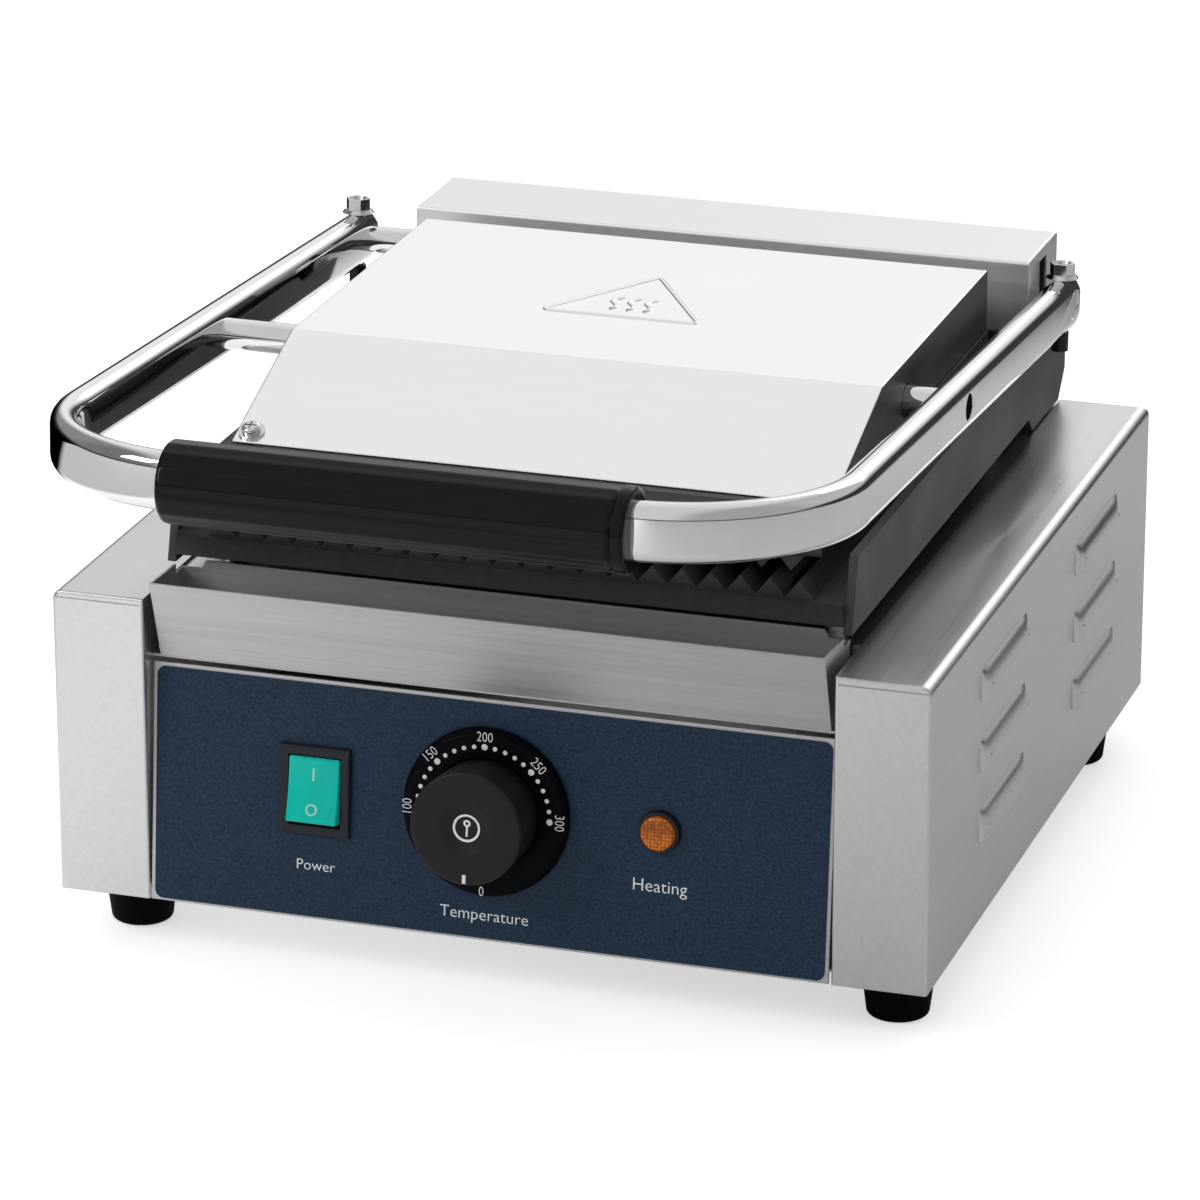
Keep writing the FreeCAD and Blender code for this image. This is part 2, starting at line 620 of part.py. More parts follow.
def ribs(body, first, count, root, tip, y_from, y_to):
    """Triangular ribs along Y, the first one drawn and the rest patterned."""
    doc.recompute()
    reach = d.rib_pitch / 2
    rib = pad(body, "XZ_Plane", [(first - reach, root), (first, tip), (first + reach, root)],
              y_from, size(y_to) - y_from)
    pattern = body.newObject("PartDesign::LinearPattern", body.Name + "_ribs")
    pattern.Originals = [rib]
    pattern.Direction = (plane_of(body, "X_Axis"), [""])
    pattern.Mode = "Spacing"
    bind(pattern, "Offset", d.rib_pitch)
    bind(pattern, "Occurrences", count)
    body.Tip = pattern


ribs(plate, -(d.lower_ribs - 1) / 2 * d.rib_pitch, d.lower_ribs, d.plate_floor - 0.01,
     d.plate_floor + d.rib_height, d.plate_front + 3, d.plate_rear - 6)


def element(name, height, front_bend, rear_bend, tail):
    """Four runs joined by three half rings, round bar throughout."""
    parts = []
    top = height + d.foot_height
    bend = d.element_bend
    for x in (-3, -1, 1, 3):
        bar = doc.addObject("Part::Cylinder", name + "_run")
        bind(bar, "Radius", d.element_radius)
        end = rear_bend if abs(x) == 1 else tail
        bind(bar, "Height", size(end) - front_bend)
        settle(bar, (bend * x, front_bend - origin_back, top), *along["y"])
        parts.append(bar)
    for x, y, turn in ((-2, front_bend, 180), (2, front_bend, 180), (0, rear_bend, 0)):
        ring = doc.addObject("Part::Torus", name + "_bend")
        bind(ring, "Radius1", bend)
        bind(ring, "Radius2", d.element_radius)
        ring.Angle3 = 180
        settle(ring, (bend * x, y - origin_back, top), Vector(0, 0, 1), turn)
        parts.append(ring)
    joined = doc.addObject("Part::MultiFuse", name)
    joined.Shapes = parts
    joined.Label = name
    nodes.append(joined)


element("lower_element", d.plate_underside - d.element_radius, size(90), size(215), size(250))

posts = piece("plate_posts")
for x in (-105, 105):
    for y in (48, 248):
        round_bar(posts, d.post_radius, d.plate_underside - deck_top, (x, y, deck_top))
bulb = piece("sensor_bulb")
round_bar(bulb, 3, 100, (0, 90, d.plate_underside - 3), "y")
clamps = piece("element_clamps")
clamp_top = d.plate_underside - d.element_radius * 2
for y in (120, 190):
    block(clamps, (-94, y, clamp_top - 1.5), (94, y + 12, clamp_top))
    for x in (-88, 88):
        round_bar(clamps, 3, d.plate_underside - clamp_top, (x, y + 6, clamp_top))

# ---------------------------------------------------------------- rear box and hinge

hinge_names = (("hinge_bracket_left", -1), ("hinge_bracket_right", 1))
for name, side in hinge_names:
    body = piece(name)
    start = d.hinge_across * side - d.hinge_wall / 2
    pad(body, "YZ_Plane", [(d.axle_back - 14.5, deck_top), (d.axle_back + 14.5, deck_top),
                           (d.axle_back + 14.5, d.axle_up + 3), (d.axle_back + 7, d.axle_up + 13),
                           (d.axle_back - 7, d.axle_up + 13), (d.axle_back - 14.5, d.axle_up + 3)],
        start, d.hinge_wall)
    low_x = start - 16 if side > 0 else start
    block(body, (low_x, d.axle_back - 14.5, deck_top), (low_x + 16 + d.hinge_wall,
                                                        d.axle_back + 14.5, deck_top + 3))
    round_bar(body, d.axle_radius + d.bush_wall, d.hinge_wall + 2,
              (start - 1, d.axle_back, d.axle_up), "x", cut=True)

bushes = piece("axle_bushes")
for side in (-1, 1):
    start = d.hinge_across * side - d.hinge_wall / 2
    round_bar(bushes, d.axle_radius + d.bush_wall, d.hinge_wall,
              (start, d.axle_back, d.axle_up), "x")
    round_bar(bushes, d.axle_radius + d.running_fit, d.hinge_wall + 2,
              (start - 1, d.axle_back, d.axle_up), "x", cut=True)

box = piece("rear_box")
skin = d.sheet_wall
lower = deck_top
block(box, (-d.box_half, d.box_front, lower), (d.box_half, d.box_rear, d.box_top))
soften(box, 1.0, lambda m, e: near(m.z, d.box_top))
block(box, (-(d.box_half - skin), d.box_front + skin, lower - 1),
      (d.box_half - skin, d.box_rear - skin, d.box_top - skin), cut=True)
block(box, (-(d.box_half + 1), d.box_front - 1, lower - 1), (d.box_half + 1, d.axle_back,
                                                             d.box_skirt), cut=True)
slot = d.axle_radius + d.slot_gap
block(box, (-(d.box_half + 1), d.axle_back - slot, lower - 1),
      (d.box_half + 1, d.axle_back + slot, d.box_top - 4), cut=True)
block(box, (-84, d.axle_back + 8, lower), (84, d.box_rear, lower + skin))

springs = []
for side in (-1, 1):
    coil = Part.makeHelix(4.2, 25.2, d.axle_radius.value + 2.6)
    path = Part.Wire(coil.Edges)
    ring = Part.Wire([Part.makeCircle(1.2, Vector(d.axle_radius.value + 2.6, 0, 0),
                                      Vector(0, 1, 0.0))])
    wire = path.makePipeShell([ring], True, True)
    wire.rotate(Vector(), Vector(0, 1, 0), 90)
    wire.translate(Vector(70 * side - 12.6, 0, 0))
    springs.append(wire)
spring = doc.addObject("Part::Feature", "balance_springs")
spring.Shape = Part.makeCompound(springs)
spring.Label = "balance_springs"
settle(spring, (0, d.axle_back - origin_back, d.axle_up + d.foot_height))
nodes.append(spring)

# ---------------------------------------------------------------- handle

centre = d.handle_half - d.tube_thick / 2


def oval(body, grow, y_start):
    """The flat oval section of the tube at the end of the right arm."""
    sketch = body.newObject("Sketcher::SketchObject", body.Name + "_section")
    sketch.AttachmentSupport = [(plane_of(body, "XZ_Plane"), "")]
    sketch.MapMode = "FlatFace"
    r = d.tube_thick / 2 + grow
    up = (d.tube_tall - d.tube_thick) / 2
    x, rv, uv = centre.value, r.value, up.value
    turn = math.pi
    sketch.addGeometry(Part.LineSegment(Vector(x + rv, -uv, 0), Vector(x + rv, uv, 0)), False)
    sketch.addGeometry(Part.ArcOfCircle(Part.Circle(Vector(x, uv, 0), Vector(0, 0, 1), rv),
                                        0, turn), False)
    sketch.addGeometry(Part.LineSegment(Vector(x - rv, uv, 0), Vector(x - rv, -uv, 0)), False)
    sketch.addGeometry(Part.ArcOfCircle(Part.Circle(Vector(x, -uv, 0), Vector(0, 0, 1), rv),
                                        turn, 2 * turn), False)
    for i in range(4):
        sketch.addConstraint(Sketcher.Constraint("Coincident", i, 2, (i + 1) % 4, 1))
    held = ((0, 1, centre + r, -up), (0, 2, centre + r, up), (2, 1, centre - r, up),
            (2, 2, centre - r, -up))
    for line, end, px, py in held:
        for kind, amount in (("DistanceX", px), ("DistanceY", py)):
            k = sketch.addConstraint(Sketcher.Constraint(kind, -1, 1, line, end, amount.value))
            bind(sketch, "Constraints[%d]" % k, amount)
    for arc, py in ((1, up), (3, -up)):
        k = sketch.addConstraint(Sketcher.Constraint("DistanceY", -1, 1, arc, 3, py.value))
        bind(sketch, "Constraints[%d]" % k, py)
    bind(sketch, "AttachmentOffset.Base.z", -size(y_start))
    return sketch


def handle_path(body):
    """The centre line: arm, corner, front bar, corner, arm."""
    sketch = body.newObject("Sketcher::SketchObject", body.Name + "_path")
    sketch.AttachmentSupport = [(plane_of(body, "XY_Plane"), "")]
    sketch.MapMode = "FlatFace"
    reach, bend, tail = d.handle_reach, d.handle_bend, d.tube_tail
    points = [(centre, tail), (centre, bend - reach), (centre - bend, -reach),
              (bend - centre, -reach), (-centre, bend - reach), (-centre, tail)]
    flat = [Vector(a.value, b.value, 0) for a, b in points]
    x, y, r = (centre - bend).value, (bend - reach).value, bend.value
    up = Vector(0, 0, 1)
    sketch.addGeometry(Part.LineSegment(flat[0], flat[1]), False)
    sketch.addGeometry(Part.ArcOfCircle(Part.Circle(Vector(x, y, 0), up, r),
                                        -math.pi / 2, 0), False)
    sketch.addGeometry(Part.LineSegment(flat[2], flat[3]), False)
    sketch.addGeometry(Part.ArcOfCircle(Part.Circle(Vector(-x, y, 0), up, r),
                                        -math.pi, -math.pi / 2), False)
    sketch.addGeometry(Part.LineSegment(flat[4], flat[5]), False)
    for a, b, c, e in ((0, 2, 1, 2), (1, 1, 2, 1), (2, 2, 3, 2), (3, 1, 4, 1)):
        sketch.addConstraint(Sketcher.Constraint("Coincident", a, b, c, e))
    for line, first in ((0, 0), (2, 2), (4, 4)):
        for end in (1, 2):
            for kind, amount in zip(("DistanceX", "DistanceY"), points[first + end - 1]):
                k = sketch.addConstraint(Sketcher.Constraint(kind, -1, 1, line, end,
                                                             amount.value))
                bind(sketch, "Constraints[%d]" % k, amount)
    for arc in (1, 3):
        k = sketch.addConstraint(Sketcher.Constraint("Radius", arc, r))
        bind(sketch, "Constraints[%d]" % k, bend)
    return sketch


def chamfer_tail(body):
    """Cut both corners off the arm ends."""
    top, tail, cut = d.tube_tall / 2, d.tube_tail, d.tube_chamfer
    for side in (-1, 1):
        pocket(body, "YZ_Plane", [(tail - cut, (top + 0.01) * side), (tail + 0.01, (top - cut) * side),
                                  (tail + 4, (top - cut) * side), (tail + 4, (top + 4) * side),
                                  (tail - cut, (top + 4) * side)],
               -(d.handle_half + 1), (d.handle_half + 1) * 2)


handle = in_handle("handle_frame")
for index, (grow, kind) in enumerate(((0, "Additive"), (-d.tube_wall, "Subtractive"))):
    pipe = handle.newObject("PartDesign::%sPipe" % kind, "handle_tube_%d" % index)
    pipe.Profile = oval(handle, grow, d.tube_tail)
    pipe.Spine = (handle_path(handle), [])
    doc.recompute()
chamfer_tail(handle)
wide = d.handle_half + 1
for y, r in ((0, d.axle_radius), (-d.rod_reach, d.rod_radius)):
    round_bar(handle, r, wide * 2, (-wide, y, 0), "x", cut=True)
for side in (-1, 1):
    round_bar(handle, d.bolt_radius, d.tube_tall + 2, (centre * side, 0, -(d.tube_tall / 2 + 1)),
              cut=True)

caps = in_handle("handle_end_caps")
hollow = d.tube_thick / 2 - d.tube_wall
flat_half = (d.tube_tall - d.tube_thick) / 2
cap_front = d.axle_radius + 0.4
for side in (-1, 1):
    block(caps, (centre * side - hollow, cap_front, -flat_half),
          (centre * side + hollow, d.tube_tail, flat_half))
    for up in (-1, 1):
        round_bar(caps, hollow, d.tube_tail - cap_front, (centre * side, cap_front,
                                                          flat_half * up), "y")
chamfer_tail(caps)

bar_y = d.axle_back - d.handle_reach * level
bar_z = d.axle_up + d.handle_reach * rise
grip = piece("grip", (d.handle_shift, bar_y, bar_z), d.handle_rise)
half = d.grip_length / 2
round_bar(grip, d.grip_radius, d.grip_length, (-half, 0, 0), "x")
soften(grip, 1.2, lambda m, e: near(abs(m.x), half) and e.Length > 80)
bore, tall = d.tube_thick / 2, d.tube_tall / 2
block(grip, (-half - 1, -bore, -tall), (half + 1, bore, tall), cut=True)
flute = round_bar(grip, d.flute_radius, d.grip_length - d.grip_lip * 2,
                  (d.grip_lip - half, 0, d.grip_radius + d.flute_radius * 0.45), "x", cut=True)
doc.recompute()
flutes = grip.newObject("PartDesign::PolarPattern", "grip_flutes")
flutes.Originals = [flute]
flutes.Axis = (plane_of(grip, "X_Axis"), [""])
flutes.Angle = 360
bind(flutes, "Occurrences", d.flute_count)
grip.Tip = flutes

rod = in_handle("middle_rod")
round_bar(rod, d.rod_radius, d.handle_half * 2, (-d.handle_half, -d.rod_reach, 0), "x")
axle = in_handle("rear_axle")
round_bar(axle, d.axle_radius, d.handle_half * 2, (-d.handle_half, 0, 0), "x")
for side in (-1, 1):
    round_bar(axle, d.bolt_radius, 14, (centre * side, 0, -7), cut=True)

bolts = in_handle("clamp_bolts")
nuts = in_handle("clamp_cap_nuts")
for side in (-1, 1):
    spot = centre * side
    round_bar(bolts, d.bolt_flange, 1.3, (spot, 0, tall), end_radius=d.bolt_flange - 1)
    hexagon = bolts.newObject("PartDesign::AdditivePrism", "clamp_bolt_hexagon")
    hexagon.Polygon = 6
    bind(hexagon, "Circumradius", size(4.62))
    bind(hexagon, "Height", d.bolt_head)
    settle(hexagon, (spot, 0, tall + 1.2))
    round_bar(bolts, 2.6, 1.2, (spot, 0, tall + d.bolt_head + 0.2), cut=True, end_radius=3.2)
    round_bar(bolts, d.bolt_radius, d.tube_tall + 4.2, (spot, 0, -tall - 4), "z")
    round_bar(nuts, d.nut_radius, d.nut_height, (spot, 0, -tall - d.nut_height))
    round_bar(nuts, d.bolt_radius, 4.2, (spot, 0, -tall - 4), cut=True)

# ---------------------------------------------------------------- upper plate and lid

upper = piece("upper_plate")
peak = d.plate_floor + d.rib_height + d.rib_gap
root = peak + d.rib_height
pad(upper, "YZ_Plane", [(d.top_front, root), (d.top_front, root + 4), (d.top_front + 11, d.top_rim),
                        (d.top_rear, d.top_rim), (d.top_rear, root)], -d.top_half,
    d.top_half * 2)
block(upper, (-(d.top_half - d.top_wall), d.top_front + 15, root + d.top_floor),
      (d.top_half - d.top_wall, d.top_rear - d.top_wall, d.top_rim + 1), cut=True)
ribs(upper, -(d.upper_ribs - 1) / 2 * d.rib_pitch, d.upper_ribs, root + 0.01, peak,
     d.top_front + 1, d.top_rear - 1)
element("upper_element", root + d.top_floor + d.element_radius, size(90), size(180), size(225))

rod_y = d.axle_back - d.rod_reach * level
rod_z = d.axle_up + d.rod_reach * rise
blocks = piece("pivot_blocks")
for side in (-1, 1):
    start = d.block_across * side - d.block_width / 2
    block(blocks, (start, rod_y - 9.5, root + d.top_floor), (start + d.block_width, rod_y + 9.5,
                                                            rod_z + 9.5))
for side in (-1, 1):
    start = d.block_across * side - d.block_width / 2
    round_bar(blocks, d.rod_radius + d.running_fit, d.block_width + 2, (start - 1, rod_y, rod_z),
              "x", cut=True)

lid = piece("lid_cover")
hem = d.top_rim + d.lid_seam
skin = d.lid_wall
pad(lid, "YZ_Plane", [(d.lid_front, hem), (d.lid_crest, d.lid_top), (d.lid_rear, d.lid_top),
                      (d.lid_rear, hem)], -d.lid_half, d.lid_half * 2)
soften(lid, 0.8, lambda m, e: m.z > hem.value + 1)
pocket(lid, "YZ_Plane", [(d.lid_front + skin * 2.5, hem - 1), (d.lid_front + skin * 3, hem),
                         (d.lid_crest + skin * 0.2, d.lid_top - skin),
                         (d.lid_rear - skin, d.lid_top - skin), (d.lid_rear - skin, hem - 1)],
       -(d.lid_half - skin), (d.lid_half - skin) * 2)
round_bar(lid, d.rod_radius + 0.4, d.lid_half * 2 + 4, (-d.lid_half - 2, rod_y, rod_z), "x",
          cut=True)
slope = size(math.degrees(math.atan2((d.lid_top - hem).value, (d.lid_crest - d.lid_front).value)))
screw_y = d.lid_front + 5.8
screw_at = (-(d.lid_half - 5.6), screw_y,
            hem + (screw_y - d.lid_front) * (d.lid_top - hem) / (d.lid_crest - d.lid_front))
doc.recompute()
washer = piece("lid_screw_washer", screw_at, -slope)
round_bar(washer, 4.6, 0.8, (0, 0, 0))
round_bar(washer, d.screw_radius, 3, (0, 0, -1), cut=True)
screw = piece("lid_screw", screw_at, -slope)
round_bar(screw, d.screw_head, 2.3, (0, 0, 0.8))
soften(screw, 1.4, lambda m, e: near(m.z, 3.1))
round_bar(screw, d.screw_radius, 6, (0, 0, -4.5))
block(screw, (-2, -0.35, 2.0), (2, 0.35, 4), cut=True)
block(screw, (-0.35, -2, 2.0), (0.35, 2, 4), cut=True)
hole = lid.newObject("PartDesign::SubtractiveCylinder", "lid_screw_hole")
bind(hole, "Radius", d.screw_radius)
bind(hole, "Height", size(6))
settle(hole, (screw_at[0], screw_at[1] - 0, screw_at[2]), Vector(1, 0, 0), slope.value + 180)
hole.Placement = Placement(hole.Placement.Base, hole.Placement.Rotation)

# ---------------------------------------------------------------- electrics

gland = piece("cable_gland")
at = (d.gland_across, rear_face, d.gland_up)
round_bar(gland, 6, 9, (at[0], at[1] - 8, at[2]), "y")
round_bar(gland, 10, 3, at, "y")
round_bar(gland, 7.8, d.gland_out - 3, (at[0], at[1] + 3, at[2]), "y", end_radius=6.2)
round_bar(gland, 3.4, 24, (at[0], at[1] - 10, at[2]), "y", cut=True)
nut = piece("gland_nut")
round_bar(nut, 9, 5, (at[0], rear_face - d.sheet_wall - 5, at[2]), "y")
round_bar(nut, 6, 8, (at[0], rear_face - d.sheet_wall - 6, at[2]), "y", cut=True)
terminals = piece("terminal_block")
block(terminals, (50, 200, 2 * d.sheet_wall), (98, 218, 2 * d.sheet_wall + 16))
for i in range(4):
    round_bar(terminals, 2.5, 8, (56 + 12 * i, 209, 2 * d.sheet_wall + 10), cut=True)

# ---------------------------------------------------------------- check and write

doc.recompute()
for thing in doc.Objects:
    if "Invalid" in thing.State or "Error" in thing.State:
        raise ValueError("%s is %s" % (thing.Label, thing.State))
os.makedirs("parts", exist_ok=True)
whole = FreeCAD.BoundBox()
for node in nodes:
    shape = node.Shape
    if shape.isNull() or not shape.isValid() or not shape.Solids:
        raise ValueError("bad shape: " + node.Label)
    whole.add(shape.BoundBox)
    shape.exportStep(os.path.join("parts", node.Label + ".step"))
print(len(nodes), "nodes, box", whole)
for label, at in (("axle", (0, d.axle_back, d.axle_up)), ("rod", (0, rod_y, rod_z)),
                  ("rocker pin", rocker_at), ("knob", (0, d.panel_front + mid * sine(d.panel_lean),
                                                    d.panel_low + mid * cosine(d.panel_lean)))):
    spot = [size(at[0]), at[1] - origin_back, at[2] + d.foot_height]
    print(label, [round(s.value, 4) for s in spot])
print("origin_back", round(origin_back.value, 4))
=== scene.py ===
import math
import bmesh
import bpy
import numpy as np
from mathutils import Matrix, Vector


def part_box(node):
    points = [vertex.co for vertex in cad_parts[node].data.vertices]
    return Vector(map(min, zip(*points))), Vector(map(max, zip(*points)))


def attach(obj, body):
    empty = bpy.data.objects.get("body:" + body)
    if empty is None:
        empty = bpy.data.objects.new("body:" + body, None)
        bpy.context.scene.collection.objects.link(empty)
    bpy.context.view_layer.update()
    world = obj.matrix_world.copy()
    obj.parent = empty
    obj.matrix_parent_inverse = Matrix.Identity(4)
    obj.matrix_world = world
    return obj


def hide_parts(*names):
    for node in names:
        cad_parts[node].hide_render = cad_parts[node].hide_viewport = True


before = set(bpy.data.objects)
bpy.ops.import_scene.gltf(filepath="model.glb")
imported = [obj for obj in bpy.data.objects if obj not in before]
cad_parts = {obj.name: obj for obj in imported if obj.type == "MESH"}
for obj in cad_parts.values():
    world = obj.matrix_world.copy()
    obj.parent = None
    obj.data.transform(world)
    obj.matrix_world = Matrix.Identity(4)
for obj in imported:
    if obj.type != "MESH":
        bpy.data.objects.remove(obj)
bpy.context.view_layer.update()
scene = bpy.context.scene
mm = 0.001

# where things are, read from the frame
axleLow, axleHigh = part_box("rear_axle")
rodLow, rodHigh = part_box("middle_rod")
gripLow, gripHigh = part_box("grip")
axleCentre = (axleLow + axleHigh) / 2
rodCentre = (rodLow + rodHigh) / 2
barCentre = (gripLow + gripHigh) / 2
armDirection = (barCentre - axleCentre).normalized()
armUp = Vector((1, 0, 0)).cross(-armDirection)
handleMatrix = Matrix(((1, 0, 0, axleCentre.x),
                       (0, -armDirection.y, armUp.y, axleCentre.y),
                       (0, -armDirection.z, armUp.z, axleCentre.z),
                       (0, 0, 0, 1)))
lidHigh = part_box("lid_cover")[1]
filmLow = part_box("panel_film")[0]
panelLean = math.radians(5.27)
controlRise = 44.6 * mm   # up the film, from its lower edge to the knob's and the switch's middle


def onPanel(across, rise, out=0.0, spin=0.0, lean=0.0):
    # a spot on the film: X across, Y up the panel, Z out of it
    up = Vector((0, math.sin(panelLean), math.cos(panelLean)))
    away = Vector((0, -math.cos(panelLean), math.sin(panelLean)))
    spot = Vector((across, filmLow.y, filmLow.z)) + up * rise + away * out
    return (Matrix.Translation(spot) @ Matrix((Vector((1, 0, 0)), up, away)).transposed().to_4x4()
            @ Matrix.Rotation(lean, 4, "X") @ Matrix.Rotation(spin, 4, "Z"))


def newGroup(name, ins, outs):
    tree = bpy.data.node_groups.new(name, "ShaderNodeTree")
    for label, kind, value in ins:
        socket = tree.interface.new_socket(label, in_out="INPUT", socket_type="NodeSocket" + kind)
        if value is not None:
            socket.default_value = value
    for label, kind in outs:
        tree.interface.new_socket(label, in_out="OUTPUT", socket_type="NodeSocket" + kind)
    return tree, tree.nodes.new("NodeGroupInput"), tree.nodes.new("NodeGroupOutput")


def addNode(tree, kind, **values):
    node = tree.nodes.new(kind)
    for key, value in values.items():
        if key in node.inputs:
            node.inputs[key].default_value = value
        else:
            setattr(node, key, value)
    return node


def mathNode(tree, operation, a, b=None, c=None, clamp=False):
    node = tree.nodes.new("ShaderNodeMath")
    node.operation = operation
    node.use_clamp = clamp
    for i, v in enumerate((a, b, c)):
        if v is None:
            continue
        if isinstance(v, (int, float)):
            node.inputs[i].default_value = v
        else:
            tree.links.new(v, node.inputs[i])
    return node.outputs[0]


def texture(tree, kind, **values):
    # a texture that reads Object coordinates
    coord = addNode(tree, "ShaderNodeTexCoord")
    node = addNode(tree, "ShaderNodeTex" + kind, **values)
    tree.links.new(coord.outputs["Object"], node.inputs["Vector"])
    return node


def rampNode(tree, value, low, high, start=0.0, end=1.0, kind="LINEAR"):
    # value from low to high becomes start to end
    node = addNode(tree, "ShaderNodeMapRange", interpolation_type=kind)
    for label, number in (("From Min", low), ("From Max", high), ("To Min", start),
                          ("To Max", end)):
        if isinstance(number, (int, float)):
            node.inputs[label].default_value = number
        else:
            tree.links.new(number, node.inputs[label])
    tree.links.new(value, node.inputs["Value"])
    return node.outputs["Result"]


def brushedGroup():
    # long scratches along one axis, plus slow blotches, as colour, roughness and height masks
    tree, gi, go = newGroup("brushedGrain",
                            [("Stretch", "Vector", (6.0, 900.0, 900.0)), ("Blotch", "Float", 9.0),
                             ("Depth", "Float", 0.5)],
                            [("Grain", "Float"), ("Blotches", "Float"), ("Height", "Float")])
    coord = addNode(tree, "ShaderNodeTexCoord")
    mapping = addNode(tree, "ShaderNodeMapping")
    tree.links.new(coord.outputs["Object"], mapping.inputs["Vector"])
    tree.links.new(gi.outputs["Stretch"], mapping.inputs["Scale"])
    fine = addNode(tree, "ShaderNodeTexNoise", Scale=1.0, Detail=3.0, Roughness=0.65)
    tree.links.new(mapping.outputs["Vector"], fine.inputs["Vector"])
    wide = texture(tree, "Noise", Detail=2.0)
    tree.links.new(gi.outputs["Blotch"], wide.inputs["Scale"])
    grain = mathNode(tree, "SUBTRACT", fine.outputs["Fac"], 0.5)
    tree.links.new(fine.outputs["Fac"], go.inputs["Grain"])
    tree.links.new(wide.outputs["Fac"], go.inputs["Blotches"])
    tree.links.new(mathNode(tree, "MULTIPLY", grain, gi.outputs["Depth"]), go.inputs["Height"])
    return tree


def smudgeGroup():
    # finger marks and dust, low contrast
    tree, gi, go = newGroup("handlingMarks", [("Scale", "Float", 35.0), ("Amount", "Float", 0.5)],
                            [("Mask", "Float")])
    cloud = texture(tree, "Noise", Detail=5.0, Roughness=0.6, Distortion=0.4)
    tree.links.new(gi.outputs["Scale"], cloud.inputs["Scale"])
    patches = rampNode(tree, cloud.outputs["Fac"], 0.45, 0.75)
    tree.links.new(mathNode(tree, "MULTIPLY", patches, gi.outputs["Amount"]), go.inputs["Mask"])
    return tree


def edgeGroup():
    # where a convex edge has been rubbed
    tree, gi, go = newGroup("edgeWear", [("Low", "Float", 0.52), ("High", "Float", 0.62)],
                            [("Mask", "Float")])
    geometry = addNode(tree, "ShaderNodeNewGeometry")
    chips = texture(tree, "Noise", Scale=260.0, Detail=3.0)
    shifted = mathNode(tree, "MULTIPLY_ADD", chips.outputs["Fac"], 0.06,
                       geometry.outputs["Pointiness"])
    tree.links.new(rampNode(tree, shifted, gi.outputs["Low"], gi.outputs["High"]),
                   go.inputs["Mask"])
    return tree


grainTree, marksTree, wearTree = brushedGroup(), smudgeGroup(), edgeGroup()


def placeGroup(tree, group, **values):
    node = tree.nodes.new("ShaderNodeGroup")
    node.node_tree = group
    for key, value in values.items():
        node.inputs[key].default_value = value
    return node


def newMaterial(name):
    material = bpy.data.materials.new(name)
    material.use_nodes = True
    return material, material.node_tree, material.node_tree.nodes["Principled BSDF"]


def mixColours(tree, factor, a, b):
    node = tree.nodes.new("ShaderNodeMix")
    node.data_type = "RGBA"
    for socket, value in ((node.inputs[0], factor), (node.inputs[6], a), (node.inputs[7], b)):
        if isinstance(value, (int, float)):
            socket.default_value = value
        elif isinstance(value, tuple):
            socket.default_value = (*value, 1) if len(value) == 3 else value
        else:
            tree.links.new(value, socket)
    return node.outputs[2]


def bumpFrom(tree, shader, height, distance, strength=1.0, roundEdges=0.0):
    bump = addNode(tree, "ShaderNodeBump", Strength=strength, Distance=distance)
    tree.links.new(height, bump.inputs["Height"])
    if roundEdges:
        bevel = addNode(tree, "ShaderNodeBevel", Radius=roundEdges)
        bevel.samples = 4
        tree.links.new(bevel.outputs["Normal"], bump.inputs["Normal"])
    tree.links.new(bump.outputs["Normal"], shader.inputs["Normal"])


def brushedSteel(name, stretch, tone=0.62, rough=0.28, depth=0.5, anisotropy=0.4, tangent="Z",
                 roundEdges=0.0004, grainShade=0.1, blotch=7.0):
    material, tree, shader = newMaterial(name)
    grain = placeGroup(tree, grainTree, Stretch=stretch, Depth=depth, Blotch=blotch)
    marks = placeGroup(tree, marksTree, Scale=28.0, Amount=0.35)
    light, dark = tone * (1 + grainShade), tone * (1 - grainShade)
    colour = mixColours(tree, grain.outputs["Grain"], (dark, dark, dark * 1.005),
                        (light, light, light * 1.005))
    tree.links.new(colour, shader.inputs["Base Color"])
    shader.inputs["Metallic"].default_value = 1.0
    base = mathNode(tree, "MULTIPLY_ADD", grain.outputs["Grain"], 0.12, rough - 0.06)
    wide = mathNode(tree, "MULTIPLY_ADD", grain.outputs["Blotches"], 0.08, -0.04)
    total = mathNode(tree, "ADD", base, wide)
    tree.links.new(mathNode(tree, "MULTIPLY_ADD", marks.outputs["Mask"], 0.06, total, clamp=True),
                   shader.inputs["Roughness"])
    shader.inputs["Anisotropic"].default_value = anisotropy
    direction = addNode(tree, "ShaderNodeTangent", direction_type="RADIAL", axis=tangent)
    tree.links.new(direction.outputs["Tangent"], shader.inputs["Tangent"])
    bumpFrom(tree, shader, grain.outputs["Height"], 0.00003, 0.6, roundEdges)
    return material


